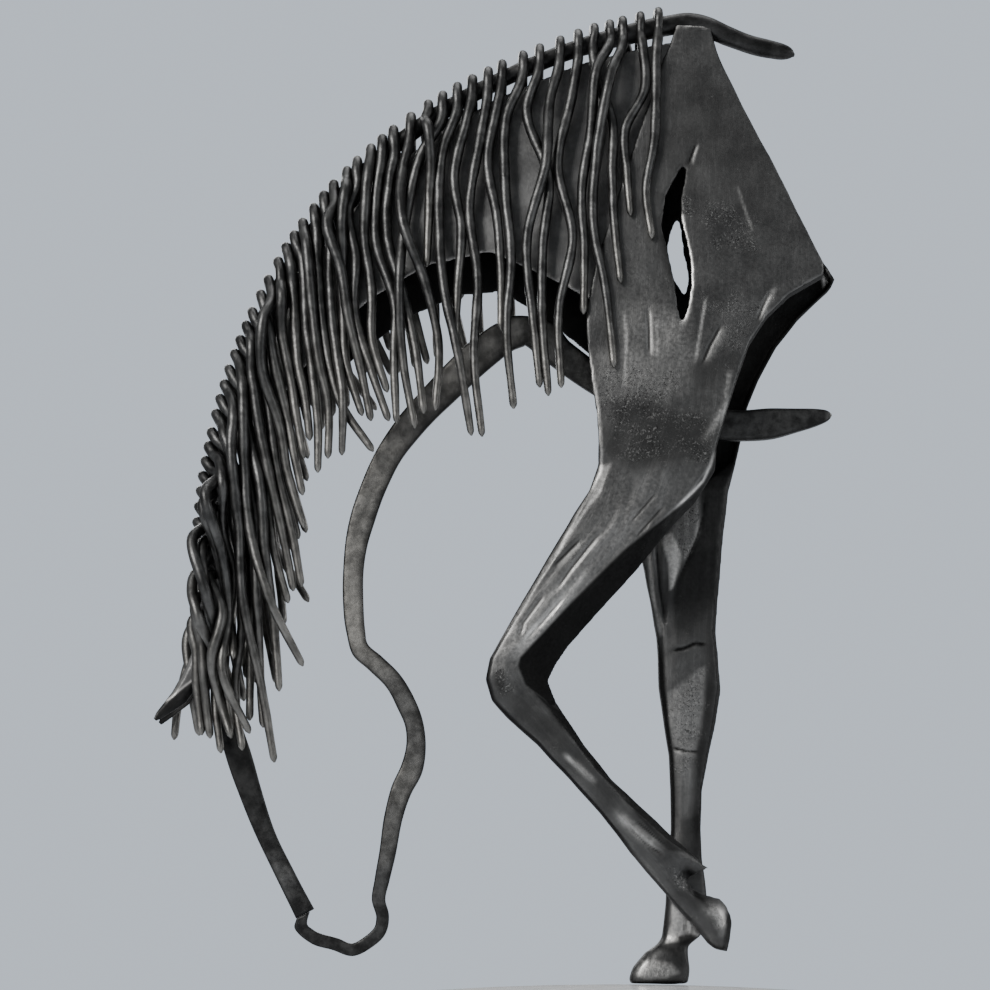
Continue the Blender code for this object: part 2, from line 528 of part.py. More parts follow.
def make_base(finish, folder):
    """A turned disc with a rounded upper edge and a slightly domed top."""
    top, top_radius = GROUND - SHORT_GAP, BASE_RADIUS - BASE_ROUND
    profile = [(top_radius * share, top - BASE_DOME * share ** 2) for share in (0, 0.3, 0.55, 0.8, 1)]
    for turn in (45, 90):
        a = math.radians(turn)
        profile.append((top_radius + BASE_ROUND * math.sin(a),
                        top - BASE_DOME - BASE_ROUND * (1 - math.cos(a))))
    profile += [(BASE_RADIUS, BASE_FOOT), (BASE_RADIUS - BASE_FOOT, 0), (0, 0)]
    mesh = bpy.data.meshes.new("base")
    mesh.from_pydata([(r, 0, z) for r, z in profile], [(k, k + 1) for k in range(len(profile) - 1)], [])
    made = add_object("base", mesh, finish, folder)
    screw = made.modifiers.new("turned", "SCREW")
    screw.steps = screw.render_steps = BASE_STEPS
    screw.use_merge_vertices = True
    screw.merge_threshold = 0.0001
    screw.use_smooth_shade = True
    return made


def make_crest_bar(finish, folder):
    points = [on_grid(x, z) for x, z, _ in CREST]
    radii = [CREST_RADIUS * share for _, _, share in CREST]
    return tube("crest_bar", points, radii, CREST_SIDES, finish, folder)


SPIKE_SHARES = (1.25, 1.4, 1.3, 0.95, 0.6)   # the spike's thickness at the throat bar's last points


def make_throat_bar(finish, folder):
    shares = [1] * (len(THROAT) - len(SPIKE_SHARES)) + list(SPIKE_SHARES)
    depths = [THROAT_BAR * share for share in shares]
    face_end = (on_grid(*FACE[-1][:2]) - on_grid(*FACE[-2][:2])).normalized()
    return flat_bar("throat_bar", THROAT, depths, THROAT_CORNER, finish, folder, start=face_end, tapered=True)


def make_mane(finish, folder):
    radii = rod_radii()
    for number, route in enumerate(settle([rod_route(k) for k in range(len(RODS))])):
        tube(f"mane_rod_{number:02d}", route, radii, ROD_SIDES, finish, folder)


def main():
    for old in list(bpy.data.objects):
        bpy.data.objects.remove(old)
    parts = bpy.data.collections.new("half_horse")
    cutters = bpy.data.collections.new("cutters")
    for folder in (parts, cutters):
        bpy.context.scene.collection.children.link(folder)
    forged = material("forged_steel", STEEL, 0.42, 1.0)
    plate = material("dark_plate", DARK_STEEL, 0.5, 1.0)
    stone = material("pale_stone", STONE, 0.18, 0.0)

    make_base(stone, parts)
    near = side_piece("near_side", NEAR_PLATE, NEAR_LEG, -1, forged, parts)
    far = side_piece("far_side", FAR_PLATE, FAR_LEG, 1, forged, parts)
    cut_through(near, NEAR_SLIT, BODY_WIDTH, cutters)
    cut_through(far, FAR_SLIT, BODY_WIDTH, cutters)
    neck_plate("near_neck_plate", NEAR_NECK, -1, plate, parts)
    neck_plate("far_neck_plate", FAR_NECK, 1, plate, parts)
    make_crest_bar(forged, parts)
    make_throat_bar(forged, parts)
    flat_bar("face_bar", FACE, [FACE_BAR] * len(FACE), FACE_CORNER, forged, parts)
    ear("near_ear", -1, plate, parts)
    ear("far_ear", 1, plate, parts)
    make_mane(forged, parts)


main()
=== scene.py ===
import math

import bmesh
import bpy
import numpy as np
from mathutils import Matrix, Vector


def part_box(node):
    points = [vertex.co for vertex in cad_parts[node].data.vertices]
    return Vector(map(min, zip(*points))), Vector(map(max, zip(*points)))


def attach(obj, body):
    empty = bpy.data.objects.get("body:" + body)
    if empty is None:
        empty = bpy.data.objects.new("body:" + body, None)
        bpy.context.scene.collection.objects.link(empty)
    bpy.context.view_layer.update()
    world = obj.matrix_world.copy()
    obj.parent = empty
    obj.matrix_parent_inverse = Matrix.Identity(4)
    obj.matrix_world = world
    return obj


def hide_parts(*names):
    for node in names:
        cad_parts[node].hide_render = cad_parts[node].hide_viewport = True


# A half horse forged from steel plate, bar and rod, on a low polished base. It faces -X, its near side
# -Y. Each piece is a finer skin over one of the solids that come packed in the frame.
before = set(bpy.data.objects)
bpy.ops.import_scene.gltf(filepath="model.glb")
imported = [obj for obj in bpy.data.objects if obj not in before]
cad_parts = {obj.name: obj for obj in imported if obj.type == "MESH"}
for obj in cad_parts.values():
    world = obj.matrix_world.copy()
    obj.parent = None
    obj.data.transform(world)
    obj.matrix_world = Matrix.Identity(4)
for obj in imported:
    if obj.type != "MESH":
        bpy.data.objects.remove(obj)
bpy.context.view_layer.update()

BASE_TOP = float(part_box("base")[1][2])
GRID = 0.001  # the side view's grid, in metres, with its zero in the middle of the base's top
NEAR, FAR = -1, 1  # the sides of the horse: the sign of Y
SAME_PLACE = 1e-6  # corners closer than this are one
SAME_LENGTH = 2e-5  # edges that differ by less are equally long


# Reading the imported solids

def sizes(vectors):
    """The length of each vector."""
    return np.linalg.norm(vectors, axis=-1)


def cad_mesh(node):
    """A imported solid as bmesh, with the corners of its faces joined."""
    bm = bmesh.new()
    bm.from_mesh(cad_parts[node].data)
    bmesh.ops.remove_doubles(bm, verts=bm.verts, dist=SAME_PLACE)
    bm.verts.ensure_lookup_table()
    return bm


def cone_tips(bm):
    """The corners at the tips of a round bar: all their edges are equally long."""
    tips = []
    for v in bm.verts:
        lengths = [e.calc_length() for e in v.link_edges]
        if max(lengths) - min(lengths) < SAME_LENGTH:
            tips.append(v)
    return tips


def rings_from(start):
    """Rings of corners along a bar, walked from the corners at one end."""
    seen, layer, rings = set(start), start, []
    while layer:
        rings.append(np.array([v.co for v in layer]))
        found = {e.other_vert(v) for v in layer for e in v.link_edges} - seen
        seen |= found
        layer = sorted(found, key=lambda v: v.index)
    return rings


def round_stations(node, first):
    """The centre and radius of each ring of a round bar, from the tip where first is lowest."""
    bm = cad_mesh(node)
    tips = sorted(cone_tips(bm), key=first)
    rings = rings_from([tips[0]])[1:-1]
    bm.free()
    rows = []
    for ring in rings:
        centre = ring.mean(axis=0)
        rows.append([*centre, sizes(ring - centre).mean()])
    return np.array(rows)


FLAT_BAR_CORNERS = 4  # a ring with fewer is the bar's pointed tip


def flat_stations(node, first):
    """Centre, half width vector and half depth of a flat bar's rings, from the corners that first picks."""
    bm = cad_mesh(node)
    start = first(bm)
    rows = []
    for ring in rings_from(start):
        if len(ring) < FLAT_BAR_CORNERS:
            continue
        centre = ring.mean(axis=0)
        flat = (ring - centre)[:, [0, 2]]
        far = flat[np.argmax(sizes(flat))]
        if rows and far @ np.array([rows[-1][3], rows[-1][5]]) < 0:
            far = -far
        rows.append([*centre, far[0], 0, far[1], np.abs(ring[:, 1] - centre[1]).max()])
    bm.free()
    return np.array(rows)


# The crest bar's rings, from the poll to its rear end
CREST = round_stations("crest_bar", lambda v: v.co.x)


def from_crest(points):
    """The nearest place on the crest bar's axis for each point, and the bar's radius there."""
    flat = points[:, [0, 2]]
    start, span = CREST[:-1, [0, 2]], np.diff(CREST[:, [0, 2]], axis=0)
    share = np.clip(((flat[:, None] - start) * span).sum(-1) / (span ** 2).sum(-1), 0, 1)
    spots = start + share[..., None] * span
    best = sizes(flat[:, None] - spots).argmin(axis=1)
    rows = np.arange(len(points))
    radius = CREST[best, 3] + (CREST[best + 1, 3] - CREST[best, 3]) * share[rows, best]
    return spots[rows, best], radius


# Curves and skins

def limited(values):
    """The values kept between 0 and 1."""
    return np.clip(values, 0, 1)


def flow(stations, spacing):
    """A smooth curve through the stations and their values, with a point about every spacing metres."""
    p = np.array(stations, dtype=float)
    length = sizes(np.diff(p[:, :3], axis=0))[:, None]
    slope = np.diff(p, axis=0) / length
    between_two = (slope[1:] * length[:-1] + slope[:-1] * length[1:]) / (length[1:] + length[:-1])
    tangent = np.vstack([slope[:1], between_two, slope[-1:]])
    out = []
    for k in range(len(length)):
        steps = max(1, round(float(length[k, 0]) / spacing))
        t = np.arange(steps)[:, None] / steps
        out.append((2 * t ** 3 - 3 * t ** 2 + 1) * p[k]
                   + (t ** 3 - 2 * t ** 2 + t) * length[k] * tangent[k]
                   + (3 * t ** 2 - 2 * t ** 3) * p[k + 1]
                   + (t ** 3 - t ** 2) * length[k] * tangent[k + 1])
    return np.vstack(out + [p[-1:]])


def along(points):
    """The distance along a curve of each of its points."""
    return np.concatenate([[0], np.cumsum(sizes(np.diff(points[:, :3], axis=0)))])


HAND_WAVES = ((1, 2.4), (0.63, 1.1), (1.7, 3.7))  # how often each wave comes, and its shift
HAND_PEAK = 2.2  # about the most that the waves add up to


def hand(seed, s, wave):
    """An uneven hand's variation along s, from about -1 to 1, with bumps about wave metres long."""
    turn = 2 * np.pi * s / wave
    return sum(np.sin(turn * often + seed * shift) for often, shift in HAND_WAVES) / HAND_PEAK


def skin(name, rings, tips):
    """A smooth closed skin through rings of equally many points. tips are its two end points."""
    rings = np.array(rings)
    count, sides, _ = rings.shape
    points = [tuple(p) for p in rings.reshape(-1, 3)] + [tuple(t) for t in tips]
    faces = []
    for k in range(count - 1):
        for n in range(sides):
            a, b = k * sides + n, k * sides + (n + 1) % sides
            faces.append((a, b, b + sides, a + sides))
    first, last = len(points) - 2, len(points) - 1
    end = (count - 1) * sides
    faces += [((n + 1) % sides, n, first) for n in range(sides)]
    faces += [(end + n, end + (n + 1) % sides, last) for n in range(sides)]
    mesh = bpy.data.meshes.new(name)
    mesh.from_pydata(points, [], faces)
    mesh.polygons.foreach_set("use_smooth", [True] * len(faces))
    bm = bmesh.new()
    bm.from_mesh(mesh)
    bmesh.ops.recalc_face_normals(bm, faces=bm.faces)
    bm.to_mesh(mesh)
    bm.free()
    return mesh


def placed(name, data):
    """A new object in the scene."""
    made = bpy.data.objects.new(name, data)
    bpy.context.scene.collection.objects.link(made)
    return made


def piece(mesh, finish, node):
    """A piece of the scene, named as its mesh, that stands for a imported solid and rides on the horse."""
    made = placed(mesh.name, mesh)
    mesh.materials.clear()
    mesh.materials.append(finish)
    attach(made, "root")
    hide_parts(node)


def paint(mesh, name, values):
    """A value for each point of a mesh, or one for all, for its material to read by name."""
    layer = mesh.attributes.new(name, "FLOAT", "POINT")
    layer.data.foreach_set("value", np.full(len(mesh.vertices), values, dtype=np.float32))


# Round bars and rods

TIP_STEPS = ((0.26, 0.94), (0.46, 0.76), (0.58, 0.46))  # a rounded tip: distance, radius, as shares
TIP_REACH = 0.62  # how far the tip stands out, as a share
TIP_RINGS = len(TIP_STEPS)


def round_skin(name, path, sides, radius_at, flat_at):
    """A round bar along a path, with rounded tips. flat_at says how far it is out of round."""
    centres = path[:, :3]
    steps = np.diff(centres, axis=0)
    heading = np.vstack([steps[:1], steps[1:] + steps[:-1], steps[-1:]])
    heading /= sizes(heading)[:, None]
    first, last = radius_at[0], radius_at[-1]
    centres = np.vstack([[centres[0] - heading[0] * first * a for a, _ in TIP_STEPS[::-1]], centres,
                         [centres[-1] + heading[-1] * last * a for a, _ in TIP_STEPS]])
    radii = np.concatenate([[first * b for _, b in TIP_STEPS[::-1]], radius_at,
                            [last * b for _, b in TIP_STEPS]])
    heading = np.vstack([[heading[0]] * TIP_RINGS, heading, [heading[-1]] * TIP_RINGS])
    across = np.array([0.0, 1.0, 0.0])
    if abs(heading[0] @ across) > 0.9:  # a bar that sets out along Y turns from X instead
        across = np.array([1.0, 0.0, 0.0])
    turns = np.arange(sides) * 2 * np.pi / sides
    rings = []
    for k, (spot, way) in enumerate(zip(centres, heading)):
        across = across - way * (across @ way)
        across /= np.linalg.norm(across)
        up = np.cross(way, across)
        radius = radii[k] * (1 + flat_at(k, turns))
        rings.append(spot + np.outer(np.cos(turns) * radius, across) + np.outer(np.sin(turns) * radius, up))
    tips = (path[0, :3] - heading[0] * first * TIP_REACH, path[-1, :3] + heading[-1] * last * TIP_REACH)
    return skin(name, rings, tips)


ROD_SIDES, ROD_SPACING = 12, 0.0024
ROD_TIP = 0.68  # a rod's thickness near its tip, as a share of that at the hook
ROD_DRAW = 2.8  # the higher, the nearer to its tip it thins
ROD_POINT = 0.88  # how far its rounded point closes
TIP_LENGTH = 0.006  # length of that point
ROD_FULL = 0.985  # its mean thickness, as a share of the solid's
ROD_UNEVEN, ROD_WAVE = 0.03, 0.05  # how its thickness varies
ROD_SQUASH, SQUASH_WAVE = 0.06, 0.07  # how far it is out of round
SQUASH_TURN, SQUASH_SEED = 0.05, 7
TIP_WORN_AND_LIT = (0.06, 0.17)  # length of the lighter tip, worn and with a painted highlight, at the withers and lower down
WORN_AND_LIT_RODS = 30  # rods from the withers to where the longer one holds
HOOK_REACH = 0.008  # a rod this near to the crest bar is on it
HOOK_EASE = 0.006  # length over which it comes off the bar
HOOK_SINK = 0.0012  # how far a hook is beaten down onto the bar
HOOK_THIN = (0.87, 1.0)  # its thickness then, as a share, at the withers and lower down
THIN_HOOKS = 18  # hooks from the withers to where they have their full thickness


def from_withers(number, ends, rods):
    """A rod's value between two: at the withers, and that many rods further down."""
    return ends[0] + (ends[1] - ends[0]) * min(number / rods, 1)


def beat_down(path, number):
    """Sinks a rod's hook onto the crest bar. Gives the share of its thickness that is left along it."""
    spots, bar = from_crest(path[:, :3])
    out = np.stack([path[:, 0] - spots[:, 0], path[:, 1], path[:, 2] - spots[:, 1]], axis=1)
    away = sizes(out)
    on_bar = limited((bar + path[:, 3] + HOOK_REACH - away) / HOOK_EASE)
    thin = from_withers(number, HOOK_THIN, THIN_HOOKS)
    sink = (HOOK_SINK + path[:, 3] * (1 - thin)) * on_bar
    path[:, :3] -= out / away[:, None] * sink[:, None]
    return 1 - (1 - thin) * on_bar


def mane_rod(number, finish):
    """A rod bent over the crest bar, drawn down to its two tips by hand."""
    node = f"mane_rod_{number:02d}"
    path = flow(round_stations(node, lambda v: v.co.y), ROD_SPACING)
    s = along(path)
    tail = np.minimum(s, s[-1] - s)
    left = beat_down(path, number)
    hook = s[np.argmin(np.abs(path[:, 1]))]
    share = np.where(s < hook, (hook - s) / hook, (s - hook) / (s[-1] - hook))
    radius = path[:, 3].max() * (1 - (1 - ROD_TIP) * share ** ROD_DRAW) * left
    point = limited(tail / TIP_LENGTH)
    rounded = np.sqrt(1 - (1 - point) ** 2 * ROD_POINT)
    radius *= rounded * (ROD_FULL + ROD_UNEVEN * hand(number, s, ROD_WAVE))
    squash = np.pad(ROD_SQUASH * hand(number + SQUASH_SEED, s, SQUASH_WAVE), TIP_RINGS, mode="edge")
    mesh = round_skin(node + "_forged", path, ROD_SIDES, radius,
                      lambda k, turns: squash[k] * np.cos(2 * turns + k * SQUASH_TURN))
    # The tips are lighter: wear with a painted highlight.
    worn = limited(1 - np.pad(tail, TIP_RINGS) / from_withers(number, TIP_WORN_AND_LIT, WORN_AND_LIT_RODS))
    paint(mesh, "tip", np.concatenate([np.repeat(worn, ROD_SIDES), [1, 1]]))
    paint(mesh, "black", 0)
    piece(mesh, finish, node)


CREST_SIDES, CREST_SPACING = 24, 0.002
CREST_TAPER = 0.020  # length of the crest bar's rounded rear end
CREST_TRIM = 0.0022  # what the rounding takes off its length
CREST_POINT = 0.94  # how far the rounding closes
CREST_FULL = 0.99  # the bar's mean thickness, as a share of the solid's
CREST_UNEVEN, CREST_WAVE, CREST_SEED = 0.022, 0.06, 3
CREST_SQUASH, CREST_TURN, CREST_SWELL = 0.02, 0.1, 0.17


def crest_bar(finish):
    """The hammered round bar along the crest, from the poll to its rounded rear end."""
    path = flow(CREST, CREST_SPACING)
    s = along(path)
    path = path[s < s[-1] - CREST_TRIM]
    s = s[:len(path)]
    left = limited((s[-1] - s) / CREST_TAPER)
    full = np.interp(s[-1] - CREST_TAPER, s, path[:, 3])
    rounded = full * np.sqrt(1 - (1 - left) ** 2 * CREST_POINT)
    radius = np.where(left < 1, rounded, path[:, 3])
    radius = radius * (CREST_FULL + CREST_UNEVEN * hand(CREST_SEED, s, CREST_WAVE))
    mesh = round_skin("crest_bar_forged", path, CREST_SIDES, radius,
                      lambda k, turns: (CREST_SQUASH * np.cos(3 * turns + k * CREST_TURN)
                                        * math.sin(k * CREST_SWELL)))
    paint(mesh, "tip", 0)
    paint(mesh, "black", 0)
    piece(mesh, finish, "crest_bar")


# Flat bars

# A flat bar's rounded corner, in shares of its half width and depth, and the outline made of four
CORNER = [(1, 0.45), (0.97, 0.72), (0.88, 0.90), (0.72, 0.985), (0.45, 1.0), (0.15, 1.0)]
HALF_OUTLINE = [(1, 0)] + CORNER + [(-a, b) for a, b in CORNER[::-1]]
BAR_OUTLINE = HALF_OUTLINE + [(-a, -b) for a, b in HALF_OUTLINE]
BAR_SPACING = 0.0025
DENT_WAVE, DENT_DEPTH = 0.04, 0.03  # dents in a bar's faces
WIDE_WAVE, WIDE_SHARE = 0.09, 0.015  # how its width varies
WIDE_SEED = 5
DENT_ROUND, DENT_ALONG = 0.9, 0.15  # how the dents change from corner to corner and ring to ring


def flat_skin(name, path, seed, tips):
    """A flat bar with rounded corners along a path of centre, half width vector and half depth."""
    s = along(path)
    rings = []
    for k, row in enumerate(path):
        wave = hand(seed, s[k], DENT_WAVE)
        lean = hand(seed + WIDE_SEED, s[k], WIDE_WAVE)
        ring = []
        for n, (a, b) in enumerate(BAR_OUTLINE):
            dent = 1 + DENT_DEPTH * wave * math.cos(n * DENT_ROUND + k * DENT_ALONG)
            wide = row[3:6] * a * (1 + WIDE_SHARE * lean)
            ring.append(row[:3] + wide + np.array([0, row[6] * b * dent, 0]))
        rings.append(ring)
    return skin(name, rings, tips)


SPIKE_ROUND = 0.007  # length of the rounding at the tip of the belly spike
SPIKE_POINT = 0.95  # how far the rounding closes
SPIKE_NARROW = 0.35  # how much the spike narrows there
SEAM = 0.0004  # the gap at the muzzle that the weld closes
BAR_TONE = 0.15  # how light a flat bar is by itself
RIM_FROM, RIM_WIDTH = 0.6, 0.35  # its edges, black with painted shade, as shares of its half width
END_BLACK = 0.004  # length of the painted shade, black, at its last end
DARKENING = 1.5  # how fast a tone below zero turns black


def paint_bar(mesh, path):
    """Paints a flat bar: painted shade, black, along its two edges and at its last end; lighter or darker
    along its length.
    """
    rim = [min(1, max(0, (abs(a) - RIM_FROM) / RIM_WIDTH)) for a, _ in BAR_OUTLINE]
    spots = np.stack([path[:, 0], path[:, 2] - BASE_TOP], axis=1) / GRID
    tone = np.full(len(path), BAR_TONE)
    for place, reach, strength in BAR_TONES:
        tone += strength * np.exp(-(sizes(spots - place) / reach) ** 2)
    sides = len(BAR_OUTLINE)
    paint(mesh, "tip", np.concatenate([np.repeat(limited(tone), sides), [0, 0]]))
    # Painted shade: black along the edges and at the last end.
    end = limited(1 - (along(path)[-1] - along(path)) / END_BLACK)
    dark = np.maximum(np.tile(rim, len(path)), np.repeat(np.maximum(-DARKENING * tone, end), sides))
    paint(mesh, "black", np.concatenate([limited(dark), [1, 1]]))


# Where the flat bars are lighter or darker: place in the side view's grid, reach, strength
BAR_TONES = [
    ((-250, 400), 50, 0.48), ((-247, 341), 26, 0.75), ((-220, 311), 22, 0.25), ((-205, 190), 25, 0.3),
    ((-213, 135), 30, 0.12), ((-240, 50), 50, -0.5), ((-300, 60), 40, -0.35), ((-330, 150), 70, -0.58),
    ((-370, 240), 60, -0.58), ((-308, 108), 18, 0.45), ((-225, 500), 40, 0.36), ((-150, 590), 50, 0.2),
    ((-60, 615), 50, -0.05), ((200, 548), 110, -0.45),
]


def throat_bar(finish):
    """The flat bar round the muzzle, jaw, throat and chest, out to the tip of the belly spike."""
    def tip(bm):
        return [max(bm.verts, key=lambda v: v.co.x)]

    path = flow(flat_stations("throat_bar", tip), BAR_SPACING)
    s = along(path)
    left = limited(s / SPIKE_ROUND)
    rounded = np.sqrt(1 - (1 - left) ** 2 * SPIKE_POINT)
    width = sizes(path[:, 3:6])
    blunt = np.maximum(width, np.interp(SPIKE_ROUND, s, width) * (1 - (1 - left) * SPIKE_NARROW))
    path[:, 3:6] *= (blunt * rounded / width)[:, None]
    path[:, 6] *= rounded
    onward = path[-1, :3] - path[-2, :3]
    path[-1, :3] += onward / np.linalg.norm(onward) * SEAM
    mesh = flat_skin("throat_bar_forged", path, 2, (path[0, :3], path[-1, :3]))
    paint_bar(mesh, path)
    piece(mesh, finish, "throat_bar")


FACE_BAR_CORNERS = 8  # corners of the solid's square-cut upper end


def face_bar(finish):
    """The flat bar down the face, cut off square above the muzzle."""
    def top(bm):
        return sorted(bm.verts, key=lambda v: -v.co.z)[:FACE_BAR_CORNERS]

    path = flow(flat_stations("face_bar", top), BAR_SPACING)
    mesh = flat_skin("face_bar_forged", path, 9, (path[0, :3], path[-1, :3]))
    paint_bar(mesh, path)
    piece(mesh, finish, "face_bar")


# Forged plates and legs

def remeshed(node, voxel, rounds):
    """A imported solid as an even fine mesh, a little smoothed."""
    bm = cad_mesh(node)
    rough = bpy.data.meshes.new(node + "_rough")
    bm.to_mesh(rough)
    bm.free()
    holder = placed(node + "_rough", rough)
    remesh = holder.modifiers.new("even", "REMESH")
    remesh.mode = "VOXEL"
    remesh.voxel_size = voxel
    smooth = holder.modifiers.new("eased", "SMOOTH")
    smooth.factor, smooth.iterations = 0.5, rounds
    graph = bpy.context.evaluated_depsgraph_get()
    mesh = bpy.data.meshes.new_from_object(holder.evaluated_get(graph))
    bpy.data.objects.remove(holder)
    bpy.data.meshes.remove(rough)
    mesh.name = node + "_forged"
    return mesh


STROKE_RISE, STROKE_END = 5, 0.35  # how fast a stroke rises from its ends, and its strength there
LEG_BLEND = 6  # over how much of the grid two stretches of a middle line blend


class Surface:
    """A mesh's points, normals and edges as arrays, to carve and paint it by."""

    def __init__(self, mesh):
        self.mesh = mesh
        self.points = self.each_point("co")
        edges = np.empty(len(mesh.edges) * 2, dtype=np.int32)
        mesh.edges.foreach_get("vertices", edges)
        self.edges = edges.reshape(-1, 2)
        self.look()

    def each_point(self, what):
        """A vector that the mesh holds for each point."""
        values = np.empty(len(self.mesh.vertices) * 3, dtype=np.float32)
        self.mesh.vertices.foreach_get(what, values)
        return values.reshape(-1, 3).astype(float)

    def look(self):
        """Reads the normals and the side view's places again, after the points have moved."""
        self.mesh.vertices.foreach_set("co", self.points.astype(np.float32).reshape(-1))
        self.mesh.update()
        self.normals = self.each_point("normal")
        self.side_view = np.stack([self.points[:, 0], self.points[:, 2] - BASE_TOP], axis=1) / GRID

    def spread(self, values, rounds):
        """Values evened out over the neighbours of each point."""
        a, b = self.edges.T
        many = len(values)
        count = np.bincount(a, minlength=many) + np.bincount(b, minlength=many) + 1
        for _ in range(rounds):
            values = (values + np.bincount(a, values[b], many) + np.bincount(b, values[a], many)) / count
        return values

    def eased(self, rounds):
        """The points, smoothed."""
        return np.stack([self.spread(self.points[:, k], rounds) for k in range(3)], axis=1)

    def outward_edges(self, rounds):
        """How far each point stands out of its surroundings, in metres."""
        return ((self.points - self.eased(rounds)) * self.normals).sum(1)

    def near_line(self, line):
        """Each point's distance from a line in the side view, and its place along it, 0 to 1."""
        best = np.full(len(self.points), np.inf)
        place = np.zeros(len(self.points))
        line = np.array(line, dtype=float)
        lengths = sizes(np.diff(line, axis=0))
        run = 0.0
        for start, end, length in zip(line, line[1:], lengths):
            share = limited(((self.side_view - start) @ (end - start)) / length ** 2)
            away = sizes(self.side_view - start - share[:, None] * (end - start))
            nearer = away < best
            best = np.where(nearer, away, best)
            place = np.where(nearer, (run + share * length) / lengths.sum(), place)
            run += length
        return best, place

    def stroke(self, line, width):
        """From 1 on a line in the side view to 0 beside it, weaker at its two ends."""
        away, place = self.near_line(line)
        ends = limited(np.minimum(place, 1 - place) * STROKE_RISE + STROKE_END)
        return np.exp(-(away / width) ** 2) * ends

    def patch(self, outline, soft):
        """From 1 inside a closed outline in the side view to 0 outside it, over a soft edge."""
        x, z = self.side_view.T
        inside = np.zeros(len(x), dtype=bool)
        for (ax, az), (bx, bz) in zip(outline, outline[1:] + outline[:1]):
            crosses = (az > z) != (bz > z)
            inside ^= crosses & (x < (bx - ax) * (z - az) / ((bz - az) or 1) + ax)
        away = self.near_line(outline + outline[:1])[0]
        return limited(0.5 + np.where(inside, away, -away) / soft)

    def marks(self, table):
        """All the marks of a table, each with its own strength."""
        total = np.zeros(len(self.points))
        for line, width, strength, *kind in table:
            total = total + strength * (self.patch if kind else self.stroke)(line, width)
        return total

    def down_the_leg(self, line):
        """Each point's place across, beside and down a middle line in the side view, in metres."""
        line = np.array(line, dtype=float)
        run, across, down, away = 0.0, [], [], []
        for start, end in zip(line, line[1:]):
            length = np.linalg.norm(end - start)
            way = (end - start) / length
            from_start = self.side_view - start
            reach = from_start @ way
            away.append(sizes(from_start - np.clip(reach, 0, length)[:, None] * way))
            across.append(from_start @ np.array([-way[1], way[0]]))
            down.append(run + reach)
            run += length
        away = np.array(away)
        weight = np.exp((away.min(axis=0) - away) / LEG_BLEND)
        weight /= weight.sum(axis=0)
        across, down = ((values * weight).sum(0) * GRID for values in (across, down))
        return np.stack([across, self.points[:, 1], down], axis=1)

    def press(self, line, width, depth):
        """Presses a groove into the photographed face along a line in the side view."""
        facing = limited(self.normals[:, 1] * NEAR * 2)
        push = depth * GRID * self.stroke(line, width) * facing
        self.points -= self.normals * push[:, None]

    def finish(self):
        self.look()
        self.mesh.polygons.foreach_set("use_smooth", [True] * len(self.mesh.polygons))


# Tables in the side view's grid. Grooves: line, half width, depth.
NEAR_GROOVES = [
    ([(85, 820), (78, 801)], 1.6, 1), ([(35, 648), (36, 625), (36, 602)], 2.2, 1.4),
    ([(106, 631), (95, 611), (87, 592)], 2.2, 1.2), ([(154, 664), (148, 652), (142, 637)], 2, 1.2),
    ([(40, 464), (17, 437)], 2, 0.8), ([(47, 451), (22, 423)], 2, 0.8), ([(-33, 419), (-58, 394)], 2.2, 1),
    ([(-15, 425), (-42, 390), (-56, 370)], 2.2, 1.2), ([(-67, 367), (-87, 339), (-90, 326)], 2.2, 1.1),
    ([(-49, 363), (-62, 348), (-85, 323)], 2.2, 1.2), ([(12, 147), (28, 131), (44, 120)], 2, 0.8),
    ([(20, 152), (34, 139), (50, 127)], 1.8, 0.8), ([(68, 106), (77, 96), (75, 82)], 2.8, 1.6),
]
FAR_GROOVES = [
    ([(45, 428), (48, 384), (53, 349)], 2.8, 1.6),
    ([(94, 480), (92, 456), (85, 433), (68, 394), (64, 387)], 1.8, 1),
    ([(61, 321), (71, 323), (82, 328), (91, 327)], 2, 1.3), ([(60, 226), (71, 223), (82, 222)], 2, 1),
    ([(70, 65), (70, 46)], 1.8, 1),
]
